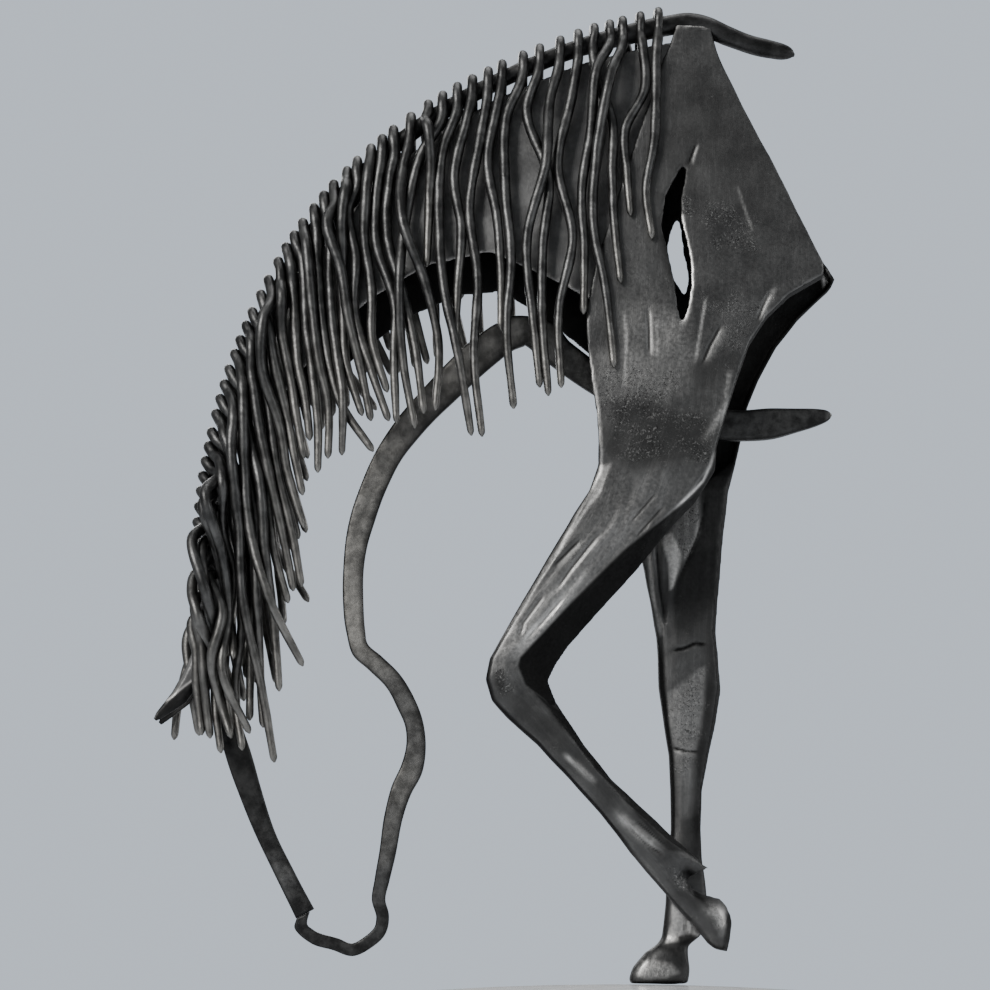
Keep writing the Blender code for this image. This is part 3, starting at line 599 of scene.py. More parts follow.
# Marks on the surface: a line, its half width and its strength, or with PATCH an outline, its soft edge
# and its strength. Bright is painted highlight and rubbed steel, black is painted shade and thick scale.
# A strength below zero thins the rest.
PATCH = "patch"
# Bright marks on the near side: painted highlights, with rubbed steel.
NEAR_BRIGHT = [
    ([(71, 745), (73, 725), (77, 706), (79, 690), (79, 674), (77, 660), (75, 650)], 1.5, 1.1),
    ([(75, 650), (71, 640), (68, 632)], 2.6, 0.6), ([(88, 820), (84, 808), (82, 800)], 1.1, 0.5),
    ([(92, 659), (86, 626), (80, 592)], 1.3, 0.75), ([(12, 645), (14, 617), (12, 572)], 1.5, 0.5),
    ([(43, 636), (44, 620), (43, 600)], 1.6, 0.35), ([(17, 590), (27, 626), (36, 660)], 24, 0.1),
    ([(38, 642), (72, 642), (76, 606), (40, 600)], 24, 0.19, PATCH),
    ([(-15, 602), (80, 602), (70, 562), (-12, 556)], 22, 0.14, PATCH),
    ([(-18, 488), (80, 496), (50, 446), (-30, 452)], 24, 0.07, PATCH),
    ([(110, 628), (100, 609), (92, 592)], 3, 0.25), ([(160, 670), (152, 655), (146, 640)], 3, 0.4),
    ([(114, 585), (110, 565), (108, 550)], 2.5, 0.35), ([(108, 550), (97, 530), (86, 516)], 3.4, 0.5),
    ([(98, 505), (94, 492), (87, 478), (78, 468), (60, 450)], 1.4, 0.9),
    ([(60, 450), (29, 422), (4, 399), (-25, 369)], 1.3, 0.35),
    ([(-22, 600), (-15, 559), (-12, 529), (-11, 503), (-12, 486), (-24, 464)], 1.3, 0.5),
    ([(-24, 464), (-38, 437), (-53, 410), (-67, 390), (-80, 369), (-95, 344), (-110, 321)], 1.4, 0.4),
    ([(126, 775), (133, 750), (139, 730)], 1.3, 0.3), ([(30, 450), (-10, 410), (-40, 380)], 22, 0.22),
    ([(-25, 390), (-60, 346), (-85, 318)], 2.8, 0.5), ([(-74, 340), (-91, 313)], 3.2, 0.5),
    ([(-40, 378), (-80, 332), (-104, 305)], 16, 0.42), ([(-48, 214), (-34, 202), (-20, 189)], 2.4, 0.6),
    ([(2, 158), (23, 139), (40, 127)], 5, 0.45), ([(85, 70), (97, 64), (101, 50)], 5.5, 0.5),
    ([(67, 952), (71, 950)], 1.5, 0.8), ([(76, 949), (85, 952), (93, 951), (99, 948)], 1.4, 0.5),
]
# Black marks on the near side: painted shade, with thick scale.
NEAR_BLACK = [
    ([(97, 479), (68, 456), (9, 409), (-41, 359), (-90, 306), (-92, 298), (-85, 280), (-60, 262),
      (-45, 270), (-45, 292), (-20, 330), (20, 370), (60, 410), (100, 450), (125, 480)], 2.5, 0.95, PATCH),
    ([(-71, 266), (-52, 240), (-24, 212), (4, 176), (32, 143), (49, 124), (95, 120), (60, 160), (0, 215),
      (-40, 262)], 3, 0.65, PATCH),
    ([(69, 959), (59, 929), (33, 852), (8, 780), (-8, 715), (-18, 658)], 2.2, 0.85),
    ([(77, 799), (65, 771), (56, 745), (52, 719), (55, 696), (63, 667)], 6, 0.45),
    ([(-58, 266), (-5, 196), (51, 140), (82, 116)], 5, 0.5),
    ([(-80, 222), (-52, 195), (-25, 165), (-8, 140), (12, 112), (35, 78), (52, 60), (72, 42)], 4.5, 0.6),
    ([(78, 596), (100, 598), (106, 585), (100, 568), (80, 566), (74, 580)], 9, 0.45, PATCH),
    ([(0, 553), (30, 558), (60, 546), (92, 543), (98, 525), (92, 500), (60, 490), (20, 488), (-5, 500),
      (-8, 530)], 16, 0.5, PATCH), ([(-95, 265), (-40, 205), (20, 140)], 18, 0.22),
    ([(-14, 492), (-28, 466), (-60, 412), (-92, 358), (-118, 314)], 3, 0.45),
    ([(76, 84), (84, 74), (90, 66)], 3, 0.6), ([(108, 68), (106, 37)], 3.6, 0.95),
    ([(104, 33), (88, 33), (72, 44), (60, 56), (48, 70)], 2.6, 0.7),
    ([(96, 83), (105, 78), (110, 68)], 2, 0.6), ([(62, 106), (72, 98), (74, 88)], 5, 0.7),
    ([(-123, 306), (-125, 286), (-117, 262), (-100, 246)], 3.5, 0.7),
    ([(-115, 292), (-107, 296), (-103, 285), (-107, 271), (-114, 281)], 3, 0.5, PATCH),
    ([(-100, 268), (-45, 214)], 12, 0.25), ([(95, 900), (100, 860), (140, 740)], 42, 0.34),
    ([(60, 840), (66, 780), (70, 700)], 22, 0.22),
]
# Bright marks on the far side: painted highlights, with rubbed steel.
FAR_BRIGHT = [
    ([(38, 420), (42, 374), (49, 337)], 2, 0.6),
    ([(54, 435), (60, 438), (69, 417), (68, 405), (61, 384), (58, 381), (57, 408),
      (51, 429)], 3, 0.95, PATCH),
    ([(69, 454), (89, 490), (89, 438), (78, 417), (69, 408), (63, 432), (57, 438)], 4, 0.16, PATCH),
    ([(91, 306), (55, 279), (56, 250), (63, 218), (80, 218), (85, 240), (90, 272)], 5, 0.22, PATCH),
    ([(62, 222), (80, 222), (79, 198), (74, 160), (67, 160), (65, 198)], 9, 0.13, PATCH),
    ([(56, 75), (68, 65), (77, 53), (80, 46), (65, 41), (50, 39), (56, 58)], 3, 0.75, PATCH),
    ([(19, 10), (27, 21), (39, 22), (54, 19), (61, 11), (49, 7), (30, 6)], 5, 0.5, PATCH),
    ([(214, 706), (220, 707), (224, 696), (217, 691)], 3, 0.7, PATCH),
]
# Black marks on the far side: painted shade, with thick scale.
FAR_BLACK = [
    ([(86, 520), (89, 480), (88, 438), (65, 393), (60, 372), (62, 325), (94, 325), (110, 380),
      (130, 520)], 5, 0.7, PATCH), ([(40, 354), (40, 290), (120, 290), (120, 354)], 44, -0.38, PATCH),
    ([(12, 1), (70, 1)], 3, 0.9),
    ([(108, 478), (100, 414), (96, 354), (98, 300), (92, 250), (84, 210), (83, 150), (84, 110)], 7, 0.6),
    ([(48, 331), (51, 272), (54, 228), (57, 211), (58, 175), (58, 145)], 3.6, 0.85),
    ([(61, 321), (71, 323), (82, 328), (91, 327)], 2.2, 0.8), ([(60, 226), (71, 223), (82, 222)], 1.8, 0.7),
    ([(61, 45), (73, 48), (85, 43), (78, 37), (63, 36)], 3, 0.75, PATCH),
    ([(78, 165), (76, 130), (76, 95)], 9, 0.35), ([(30, 32), (42, 36), (56, 32), (63, 25)], 4, 0.6),
    ([(70, 65), (70, 46)], 1.5, 0.8),
]
# Pitted places
NEAR_PITS = [
    ([(78, 764), (120, 758), (148, 740), (144, 705), (104, 712), (84, 735)], 14, 0.75, PATCH),
    ([(-12, 588), (64, 585), (64, 548), (-10, 550)], 12, 0.9, PATCH),
    ([(-8, 552), (98, 545), (98, 500), (0, 492)], 14, 0.6, PATCH), ([(72, 767), (78, 742)], 5, 0.9),
    ([(95, 650), (140, 650), (105, 600)], 15, 0.8), ([(90, 512), (86, 492)], 8, 0.9),
    ([(-45, 395), (-20, 420)], 7, 0.6), ([(-112, 296), (-100, 271)], 8, 1), ([(48, 110), (66, 88)], 8, 0.9),
    ([(85, 78), (98, 50)], 9, 0.7),
]
FAR_PITS = [
    ([(91, 306), (55, 279), (55, 233), (60, 205), (82, 205), (85, 233), (90, 272)], 16, 0.8, PATCH),
    ([(69, 454), (89, 469), (88, 438), (78, 417), (69, 408), (63, 432)], 4, 0.8, PATCH),
    ([(30, 12), (54, 14)], 6, 0.6),
]
# Round forms, where the flats of the solid are eased away
NEAR_ROUND = [
    ([(78, 70), (98, 52)], 26, 1), ([(-100, 286), (-85, 270)], 18, 0.6), ([(20, 130), (60, 100)], 14, 0.5),
    ([(87, 118), (80, 117)], 7, 0.8),
]
FAR_ROUND = [
    ([(34, 12), (64, 16)], 24, 1), ([(70, 60), (70, 90)], 14, 0.5), ([(76, 320), (76, 290)], 20, 0.6),
]
# The middle lines that the brush followed, from the withers to each hoof
NEAR_FLOW = [(75, 960), (60, 640), (45, 540), (5, 430), (-100, 290), (60, 110), (95, 45)]
FAR_FLOW = [(75, 960), (75, 640), (80, 480), (75, 330), (70, 200), (66, 60), (45, 0)]

# A plate's top, beaten up over the face of the crest bar, in the side view's grid
FLAP_START, FLAP_END, FLAP_TOP = 922, 943, 953
FLAP_CURVE = 1.5  # how late it rises
FLAP_SKIN = 0.0006  # how far it stands off the bar's face, in metres


def over_the_crest(skin_of, side):
    """Draws a side plate's top up over the face of the crest bar, to which it is welded."""
    z = skin_of.side_view[:, 1]
    rise = limited((z - FLAP_START) / (FLAP_END - FLAP_START))
    skin_of.points[:, 2] += rise ** FLAP_CURVE * (FLAP_TOP - FLAP_END) * GRID
    spots, radius = from_crest(skin_of.points)
    drop = sizes(skin_of.points[:, [0, 2]] - spots)
    face = np.sqrt(np.clip(radius ** 2 - drop ** 2, 0, None)) + FLAP_SKIN
    depth = skin_of.points[:, 1] * side
    outer = limited(skin_of.normals[:, 1] * side * 3) * (rise > 0)
    skin_of.points[:, 1] = side * np.where(face > depth, depth + (face - depth) * outer, depth)


SIDE_FINENESS = 0.00167  # fine enough for the grooves, and under 200,000 triangles
SIDE_ROUNDS = 5  # rounds of smoothing
ROUNDED_ROUNDS, ROUNDED_GAIN = 40, 1.6  # the easing where a form is round
LEG_TOP, LEG_EASE = 480, 70  # where a plate goes over into its leg
DENT = 0.2  # depth of the hammer's dents, in the grid
RIDGE = 0.32  # height of the ridges drawn out along the legs
RIDGES_AT, RIDGES_REACH = 395, 110  # where they are strongest, and their reach


def hammered(x, z, across, down):
    """The height of the hammer's dents, and of the ridges drawn out along a leg, in the grid's units."""
    dents = (np.sin(x / 13 + z / 29) * np.sin(z / 17 - x / 23) + 0.6 * np.sin(x / 7.1 - z / 9.7)) * DENT
    drawn = limited(1 - np.abs(z - RIDGES_AT) / RIDGES_REACH)
    ridges = np.sin(across / 1.7 + 1.4 * np.sin(down / 31)) * (0.6 + 0.4 * np.sin(down / 19 + across / 5))
    return dents + drawn * RIDGE * ridges


HIDDEN_MARKS = 0.3  # the marks' strength on the side that isn't photographed
TURNED, TURNED_GAIN = 0.74, 4  # where a plate turns from its side by more, it is black: painted shade
EDGE_BLACK = 0.85
# Grooves are painted black: painted shade in them.
GROOVE_WIDTH, GROOVE_BLACK = 0.55, 0.95
EDGE_ROUNDS, EDGE_HEIGHT = 4, 0.0006  # how far around and how high an edge stands out


def paint_side(skin_of, side, tables, soft, streaks):
    """Paints a side: black for painted shade (also on faces turned away and in the grooves) and thick
    scale, bright for painted highlights and rubbed steel, its pitted places, its edges, and the way that
    the brush went.
    """
    grooves, bright, black, pits = tables
    mesh, turn = skin_of.mesh, skin_of.normals[:, 1]
    plate = limited((skin_of.side_view[:, 1] - LEG_TOP) / LEG_EASE)
    outward = turn * side * plate + np.abs(turn) * (1 - plate)
    faced = np.where(turn < 0, 1, HIDDEN_MARKS)
    shown = limited(outward * 2) * faced
    # Faces turned away from the side, and the grooves, are painted black: painted shade.
    turned = limited((TURNED - outward) * TURNED_GAIN) * (1 - 0.75 * soft)
    grooved = [(line, width * GROOVE_WIDTH, GROOVE_BLACK) for line, width, _ in grooves]
    # Painted highlights and rubbed steel, kept off the black patches.
    highlit_and_rubbed = skin_of.marks(bright) * limited(np.abs(turn) * 2) * faced
    scale_and_shade_patches = skin_of.marks([mark for mark in black if mark[3:]]) * shown
    lines = skin_of.marks([mark for mark in black if not mark[3:]]) * shown
    lines = turned * EDGE_BLACK + lines + skin_of.marks(grooved) * shown
    paint(mesh, "black", limited(np.maximum(scale_and_shade_patches, lines - highlit_and_rubbed)))
    paint(mesh, "bright", limited(highlit_and_rubbed * (1 - limited(scale_and_shade_patches))))
    paint(mesh, "pitted", limited(skin_of.marks(pits) * shown))
    paint(mesh, "edge", limited(skin_of.outward_edges(EDGE_ROUNDS) / EDGE_HEIGHT))
    layer = mesh.attributes.new("brushed", "FLOAT_VECTOR", "POINT")
    layer.data.foreach_set("vector", streaks.astype(np.float32).reshape(-1))


def forged_side(node, side, tables, flow_line, finish):
    """A side plate drawn down into its leg: its hammered skin, grooves, creases and pitted places."""
    grooves, rounded = tables[0], tables[-1]
    mesh = remeshed(node, SIDE_FINENESS, SIDE_ROUNDS)
    skin_of = Surface(mesh)
    soft = limited(skin_of.marks(rounded) * ROUNDED_GAIN)
    skin_of.points += (skin_of.eased(ROUNDED_ROUNDS) - skin_of.points) * soft[:, None]
    over_the_crest(skin_of, side)
    skin_of.look()
    for line, width, depth in grooves:
        skin_of.press(line, width, depth)
    streaks = skin_of.down_the_leg(flow_line)
    height = hammered(*skin_of.side_view.T, streaks[:, 0] / GRID, streaks[:, 2] / GRID)
    skin_of.points += skin_of.normals * height[:, None] * GRID
    skin_of.finish()
    paint_side(skin_of, side, tables[:-1], soft, streaks)
    piece(mesh, finish, node)


EAR_RIM = [(-399, 293), (-414, 281), (-425, 271), (-435, 265)]
BELOW_RIM = [(-445, 240), (-385, 240), (-385, 300)]  # closes the outline of its inside, painted black as shade
# Inside the ear: painted shade. Along its rim: a painted highlight.
INSIDE_BLACK = 0.9
RIM_HALF_WIDTH, RIM_BRIGHT = 1.3, 0.8
THIN_ROUNDS, THIN_HEIGHT = 3, 0.0005  # as EDGE_ROUNDS and EDGE_HEIGHT
LOW_EDGE = {NEAR: 0.6, FAR: 0.1}  # how bright the painted highlight on a neck plate's lower edge is


def thin_plate(node, side, fineness, rounds, rim, finish):
    """A neck plate or an ear: painted shade, black, on its inner side and inside the ear, with a painted
    highlight on its lower edge or its rim.
    """
    mesh = remeshed(node, fineness, rounds)
    skin_of = Surface(mesh)
    outward = skin_of.normals[:, 1] * side
    paint(mesh, "edge", limited(skin_of.outward_edges(THIN_ROUNDS) / THIN_HEIGHT))
    # Painted shade: black on the side turned inward and inside the ear's cup.
    inside = skin_of.patch(rim + BELOW_RIM, 2) * INSIDE_BLACK if rim else 0
    paint(mesh, "black", limited(np.maximum(0.15 - outward * 3, inside)))
    # Painted highlight: on a neck plate's lower edge, or along the ear's rim.
    low = limited(-skin_of.normals[:, 2] * 2.5) * limited(outward * 2.5) * LOW_EDGE[side]
    paint(mesh, "bright", skin_of.stroke(rim, RIM_HALF_WIDTH) * RIM_BRIGHT if rim else low)
    skin_of.finish()
    piece(mesh, finish, node)


# Base

BASE_STEPS = 160  # flats round the base
UNDERSIDE = -0.999  # only the flat underside's faces have a normal with a lower Z


def turned_base(finish):
    """The low round base, turned from the profile of its solid."""
    bm = cad_mesh("base")
    spots = {(round(float(v.co.x), 6), round(float(v.co.z), 6)) for v in bm.verts
             if abs(v.co.y) < SAME_PLACE < v.co.x}
    bm.free()
    profile = sorted(spots, key=lambda spot: math.atan2(BASE_TOP / 2 - spot[1], spot[0]))
    turns = np.arange(BASE_STEPS) * 2 * np.pi / BASE_STEPS
    rings = [np.stack([r * np.cos(turns), r * np.sin(turns), np.full(BASE_STEPS, z)], axis=1)
             for r, z in profile]
    mesh = skin("base_turned", rings, ((0, 0, BASE_TOP), (0, 0, 0)))
    for face in mesh.polygons:
        face.use_smooth = face.normal.z > UNDERSIDE
    piece(mesh, finish, "base")


# Shader trees

class Graph:
    """A shader tree being built, with short names for the usual nodes."""

    def __init__(self, tree):
        self.tree = tree

    def feed(self, value, slot):
        """Links a socket to an input, or sets the input to a plain value."""
        if isinstance(value, bpy.types.NodeSocket):
            self.tree.links.new(value, slot)
        else:
            slot.default_value = value

    def node(self, kind, inputs=None, **settings):
        """A node with its settings, and its inputs linked or set by name."""
        made = self.tree.nodes.new("ShaderNode" + kind)
        for label, value in settings.items():
            setattr(made, label, value)
        for label, value in (inputs or {}).items():
            self.feed(value, made.inputs[label])
        return made

    def math(self, operation, values, clamp):
        made = self.node("Math", operation=operation, use_clamp=clamp)
        for slot, value in zip(made.inputs, values):
            self.feed(value, slot)
        return made.outputs[0]

    def times(self, value, by, clamp=False):
        return self.math("MULTIPLY", (value, by), clamp)

    def times_plus(self, value, by, plus, clamp=False):
        return self.math("MULTIPLY_ADD", (value, by, plus), clamp)

    def between(self, value, low, high):
        """The value's place between low and high, from 0 to 1, eased."""
        made = self.node("MapRange", {"Value": value, "From Min": low, "From Max": high},
                         interpolation_type="SMOOTHSTEP")
        return made.outputs["Result"]

    def on_object(self):
        """The place on the object, in metres."""
        return self.node("TexCoord").outputs["Object"]

    def noise(self, spot, scale, detail, roughness):
        made = self.node("TexNoise", {"Vector": spot, "Scale": scale, "Detail": detail,
                                                "Roughness": roughness})
        return made.outputs["Fac"]

    def painted(self, name, output="Fac"):
        """A value painted on the mesh."""
        return self.node("Attribute", attribute_name=name).outputs[output]

    def shared(self, group, **inputs):
        """A shared group, placed here with its inputs linked or set."""
        return self.node("Group", inputs, node_tree=group).outputs

    def mixed(self, share, first, second):
        """One colour over another by a mask. A colour is three numbers or a socket."""
        made = self.node("Mix", data_type="RGBA")
        for slot, value in ((0, share), (6, first), (7, second)):
            self.feed((*value, 1) if isinstance(value, tuple) else value, made.inputs[slot])
        return made.outputs[2]

    def layered(self, colour, *layers):
        """A colour with others laid over it in turn, each by its mask."""
        for share, over in layers:
            colour = self.mixed(share, colour, over)
        return colour

    def steel(self, shader, colour, roughness, height, distance):
        """Feeds a steel's colour, roughness and low relief to its shader."""
        self.feed(colour, shader["Base Color"])
        self.feed(roughness, shader["Roughness"])
        bump = self.node("Bump", {"Height": height, "Distance": distance, "Strength": 1})
        self.feed(bump.outputs["Normal"], shader["Normal"])
        shader["Metallic"].default_value = 1


def group(name, inputs, outputs):
    """An empty shader group. inputs are names with their defaults, or None for a place."""
    tree = bpy.data.node_groups.new(name, "ShaderNodeTree")
    for label, value in inputs.items():
        kind = "NodeSocketVector" if value is None else "NodeSocketFloat"
        socket = tree.interface.new_socket(label, in_out="INPUT", socket_type=kind)
        if value is not None:
            socket.default_value = value
    for label in outputs:
        tree.interface.new_socket(label, in_out="OUTPUT", socket_type="NodeSocketFloat")
    return Graph(tree), tree.nodes.new("NodeGroupInput").outputs, tree.nodes.new("NodeGroupOutput").inputs


def scale_mottling():
    """Forge scale: cloudy light and dark patches, and its low relief."""
    graph, given, made = group("scale_mottling", {"Patch": 30, "Grain": 260},
                               ("Cloud", "Grain", "Height"))
    spot = graph.on_object()
    cloud = graph.noise(spot, given["Patch"], 6, 0.62)
    grain = graph.noise(spot, given["Grain"], 3, 0.6)
    graph.feed(graph.between(cloud, 0.34, 0.68), made["Cloud"])
    graph.feed(graph.between(grain, 0.3, 0.7), made["Grain"])
    graph.feed(graph.times_plus(cloud, 0.7, graph.times(grain, 0.3)), made["Height"])
    return graph.tree


def brush_streaks():
    """Fine streaks from a wire brush, along the last axis of the place given."""
    graph, given, made = group("brush_streaks", {"Place": None, "Fineness": 220}, ("Streak",))
    spot = graph.node("Mapping", {"Vector": given["Place"], "Scale": (1, 1, 0.06)})
    streak = graph.noise(spot.outputs["Vector"], given["Fineness"], 4, 0.7)
    graph.feed(graph.between(streak, 0.44, 0.74), made["Streak"])
    return graph.tree


def pit_marks():
    """Small pits, and bright flecks between them, that gather where the surface is pitted."""
    graph, given, made = group("pit_marks", {"Size": 450, "Where": 0}, ("Pit", "Fleck"))
    spot = graph.on_object()
    patches = graph.noise(spot, 60, 4, 0.5)
    chosen = graph.between(graph.times_plus(given["Where"], 0.45, patches), 0.58, 0.98)
    for label, size, low, high in (("Pit", 1, 0.44, 0.37), ("Fleck", 0.83, 0.57, 0.65)):
        speckle = graph.noise(spot, graph.times(given["Size"], size), 2, 0.55)
        graph.feed(graph.times(graph.between(speckle, low, high), chosen), made[label])
    return graph.tree


def hammer_marks():
    """Shallow facets that a hammer leaves."""
    graph, given, made = group("hammer_marks", {"Size": 70}, ("Height",))
    cells = graph.node("TexVoronoi", {"Vector": graph.on_object(), "Scale": given["Size"],
                                                "Smoothness": 0.6}, feature="SMOOTH_F1")
    graph.feed(cells.outputs["Distance"], made["Height"])
    return graph.tree


def burnish():
    """Edges rubbed bright, broken up by the scale."""
    graph, given, made = group("burnish", {"Edge": 0, "Cloud": 0.5}, ("Bright",))
    lifted = graph.times_plus(given["Cloud"], 0.45, given["Edge"])
    graph.feed(graph.between(lifted, 0.62, 1.3), made["Bright"])
    return graph.tree


SCALE, STREAKS, PITS = scale_mottling(), brush_streaks(), pit_marks()
HAMMER, BURNISH = hammer_marks(), burnish()


# Materials

def grey(value):
    return (value, value, value)


# Black for painted shade and thick scale; a light grey for painted highlights and rubbed steel.
SCALE_AND_SHADE_BLACK, PIT_BLACK, BAR_BLACK = grey(0.008), grey(0.012), grey(0.010)
HIGHLIGHT_AND_RUBBED, BRUSHED, FLECK = (0.72, 0.71, 0.69), grey(0.24), (0.45, 0.45, 0.44)


def blank(name):
    """A material with a Principled shader, its tree and that shader's sockets."""
    made = bpy.data.materials.new(name)
    made.use_nodes = True
    return made, Graph(made.node_tree), made.node_tree.nodes["Principled BSDF"].inputs


def forged_plate():
    """Side plates and legs: dark scale, brushed lengthwise, pitted in places, with painted highlights and
    rubbed steel where bright, and painted shade and thick scale where black.
    """
    made, graph, shader = blank("forged_plate")
    scale = graph.shared(SCALE, Patch=22, Grain=300)
    streak = graph.shared(STREAKS, Place=graph.painted("brushed", "Vector"), Fineness=260)["Streak"]
    marks = graph.shared(PITS, Size=620, Where=graph.painted("pitted"))
    worn = graph.shared(BURNISH, Edge=graph.painted("edge"), Cloud=scale["Cloud"])["Bright"]
    hammer = graph.shared(HAMMER, Size=55)["Height"]
    black = graph.painted("black")
    brushing = graph.times(streak, graph.times_plus(scale["Cloud"], 0.18, 0.02))
    uneven = graph.times_plus(scale["Grain"], 0.35, graph.times_plus(streak, 0.3, 0.55))
    bright = graph.times(graph.painted("bright"), uneven, clamp=True)
    # Bright: painted highlights and rubbed steel. Black: painted shade and thick scale.
    colour = graph.layered(
        graph.mixed(scale["Cloud"], grey(0.062), (0.1, 0.1, 0.099)),
        (brushing, BRUSHED), (bright, HIGHLIGHT_AND_RUBBED), (graph.times(worn, 0.12), (0.40, 0.39, 0.38)),
        (graph.times(black, 0.94), SCALE_AND_SHADE_BLACK),
        (graph.times(marks["Fleck"], 0.32), FLECK), (graph.times(marks["Pit"], 0.70), PIT_BLACK))
    rough = graph.times_plus(black, 0.30, graph.times_plus(scale["Grain"], 0.14, 0.40))
    rough = graph.times_plus(bright, -0.12, rough, clamp=True)
    height = graph.times_plus(marks["Pit"], -0.35, graph.times_plus(hammer, 0.5, scale["Height"]))
    graph.steel(shader, colour, rough, graph.times_plus(streak, 0.10, height), 0.0006)
    return made


def forged_bar(name, dark, light, patch, tip_share, roughness):
    """Bars and rods: hammered; lighter where painted so (a rod's worn tips with a painted highlight, a flat
    bar's lighter stretches), black where painted so (painted shade on a bar's edges and end, its darkest
    stretches).
    """
    made, graph, shader = blank(name)
    scale = graph.shared(SCALE, Patch=patch, Grain=420)
    hammer = graph.shared(HAMMER, Size=120)["Height"]
    uneven = graph.times_plus(scale["Cloud"], tip_share, tip_share)
    # Lighter: worn rod tips with a painted highlight. Black: painted shade on the bars' edges and ends.
    colour = graph.layered(
        graph.mixed(scale["Cloud"], dark, light),
        (graph.times(graph.painted("tip"), uneven, clamp=True), (0.30, 0.29, 0.27)),
        (graph.times(graph.painted("black"), 0.9), BAR_BLACK))
    height = graph.times_plus(hammer, 0.8, scale["Height"])
    graph.steel(shader, colour, graph.times_plus(scale["Grain"], 0.14, roughness), height, 0.0004)
    return made


def dark_plate():
    """Neck plates and ears: dark scale, hardly brushed, with painted shade, black, on the inside and a
    painted highlight on the rim or lower edge.
    """
    made, graph, shader = blank("dark_scaled_plate")
    scale = graph.shared(SCALE, Patch=34, Grain=280)
    worn = graph.shared(BURNISH, Edge=graph.painted("edge"), Cloud=scale["Cloud"])["Bright"]
    # The light grey is a painted highlight, the black painted shade.
    colour = graph.layered(
        graph.mixed(scale["Cloud"], grey(0.085), (0.15, 0.15, 0.149)),
        (graph.times(worn, 0.2), (0.30, 0.29, 0.28)), (graph.painted("bright"), (0.55, 0.54, 0.53)),
        (graph.times(graph.painted("black"), 0.93), SCALE_AND_SHADE_BLACK))
    graph.steel(shader, colour, graph.times_plus(scale["Grain"], 0.16, 0.42), scale["Height"], 0.0005)
    return made


def pale_stone():
    """The polished base: pale, with a fine even speckle."""
    made, graph, shader = blank("polished_pale_stone")
    scale = graph.shared(SCALE, Patch=60, Grain=700)
    graph.feed(graph.mixed(scale["Grain"], (0.62, 0.63, 0.65), grey(0.80)), shader["Base Color"])
    graph.feed(graph.times_plus(scale["Cloud"], 0.06, 0.10), shader["Roughness"])
    return made


def pale_floor():
    """The floor: pale, and to the camera as bright as the surround far away from the horse."""
    made, graph, shader = blank("pale_floor")
    shader["Base Color"].default_value = (0.72, 0.74, 0.77, 1)
    shader["Roughness"].default_value = 0.6
    away = graph.node("VectorMath", {0: graph.on_object()}, operation="LENGTH").outputs["Value"]
    seen = graph.node("LightPath").outputs["Is Camera Ray"]
    glow = graph.times(graph.between(away, 0.8, 4.5), seen)
    graph.feed(graph.mixed(glow, grey(0), (0.50, 0.56, 0.64)), shader["Emission Color"])
    shader["Emission Strength"].default_value = 1
    return made


# Camera, light and floor

CAMERA_PLACE = (-0.1139, -2.6, 0.054)
CAMERA_TILT = 10.284  # degrees upward
CAMERA_LENS, CAMERA_SENSOR = 98, 36  # millimetres


def camera():
    data = bpy.data.cameras.new("camera")
    data.lens, data.sensor_width = CAMERA_LENS, CAMERA_SENSOR
    data.clip_start = 0.05
    made = placed("camera", data)
    made.location = CAMERA_PLACE
    made.rotation_euler = (math.radians(90 + CAMERA_TILT), 0, 0)
    bpy.context.scene.camera = made


# The lights, all turned to the horse's middle: name, place, size, watts, colour
MIDDLE = (-0.1, 0, 0.55)
SOFTBOXES = [
    ("key", (-1.9, -2, 2.1), (1.3, 1.3), 95, (1, 0.99, 0.97)),
    ("fill", (1.9, -1.6, 1), (1.2, 1.6), 10, (0.97, 0.99, 1)),
    ("back", (-0.6, 2.2, 1.7), (1.4, 1.4), 40, grey(1)),
    ("above", (0, 0.2, 2.7), (1.6, 1.2), 22, grey(1)),
    ("rear", (2.3, 0.9, 1.5), (1.4, 1.4), 26, grey(1)),
]
FLOOR_REACH = 6
SEEN_SURROUND, LIT_SURROUND = ((0.66, 0.73, 0.82, 1), 0.95), ((0.94, 0.97, 1, 1), 0.30)  # colour, strength


def softbox(name, spot, size, power, colour):
    data = bpy.data.lights.new(name, "AREA")
    data.shape, data.size, data.size_y = "RECTANGLE", size[0], size[1]
    data.energy, data.color = power, colour
    made = placed(name, data)
    made.location = spot
    made.rotation_euler = (Vector(MIDDLE) - Vector(spot)).to_track_quat("-Z", "Y").to_euler()


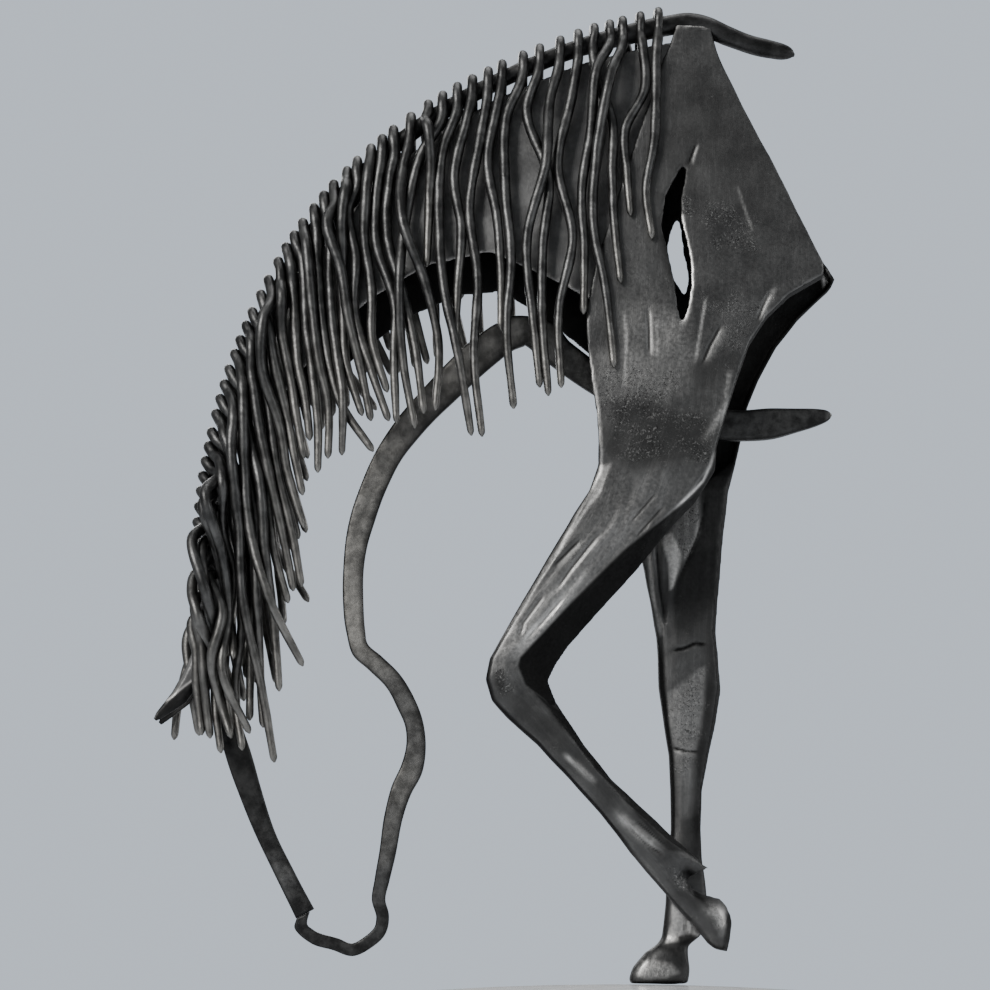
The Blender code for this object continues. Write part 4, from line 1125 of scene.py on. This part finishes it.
def surround():
    """A pale surround to look at, which lights the steel only weakly."""
    world = bpy.data.worlds.new("pale_surround")
    world.use_nodes = True
    graph = Graph(world.node_tree)
    mix = graph.node("MixShader", {0: graph.node("LightPath").outputs["Is Camera Ray"]})
    for slot, (colour, strength) in ((1, LIT_SURROUND), (2, SEEN_SURROUND)):
        pale = graph.node("Background", {"Color": colour, "Strength": strength})
        graph.feed(pale.outputs[0], mix.inputs[slot])
    graph.feed(mix.outputs[0], world.node_tree.nodes["World Output"].inputs["Surface"])
    bpy.context.scene.world = world


def studio():
    """A pale floor and soft lights."""
    mesh = bpy.data.meshes.new("floor")
    corners = ((-1, -1), (1, -1), (1, 1), (-1, 1))
    mesh.from_pydata([(x * FLOOR_REACH, y * FLOOR_REACH, 0) for x, y in corners], [], [(0, 1, 2, 3)])
    floor = placed("floor", mesh)
    mesh.materials.append(pale_floor())
    for light in SOFTBOXES:
        softbox(*light)


NEAR_MARKS = (NEAR_GROOVES, NEAR_BRIGHT, NEAR_BLACK, NEAR_PITS, NEAR_ROUND)
FAR_MARKS = (FAR_GROOVES, FAR_BRIGHT, FAR_BLACK, FAR_PITS, FAR_ROUND)
NECK_FINENESS, NECK_ROUNDS = 0.002, 8
EAR_FINENESS, EAR_ROUNDS = 0.0009, 3


def dress():
    """Lays a skin over every solid."""
    plate, scaled = forged_plate(), dark_plate()
    rod_steel = forged_bar("forged_rod", grey(0.036), (0.1, 0.1, 0.099), 60, 0.27, 0.37)
    crest_steel = forged_bar("black_crest_bar", grey(0.018), grey(0.055), 30, 0, 0.38)
    bar_steel = forged_bar("forged_flat_bar", grey(0.036), (0.105, 0.105, 0.104), 75, 0.55, 0.40)
    turned_base(pale_stone())
    forged_side("near_side", NEAR, NEAR_MARKS, NEAR_FLOW, plate)
    forged_side("far_side", FAR, FAR_MARKS, FAR_FLOW, plate)
    for name, side in (("near_neck_plate", NEAR), ("far_neck_plate", FAR)):
        thin_plate(name, side, NECK_FINENESS, NECK_ROUNDS, None, scaled)
    for name, side in (("near_ear", NEAR), ("far_ear", FAR)):
        thin_plate(name, side, EAR_FINENESS, EAR_ROUNDS, EAR_RIM, scaled)
    crest_bar(crest_steel)
    throat_bar(bar_steel)
    face_bar(bar_steel)
    for number in range(sum(name.startswith("mane_rod_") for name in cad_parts)):
        mane_rod(number, rod_steel)


camera()
surround()
studio()
dress()
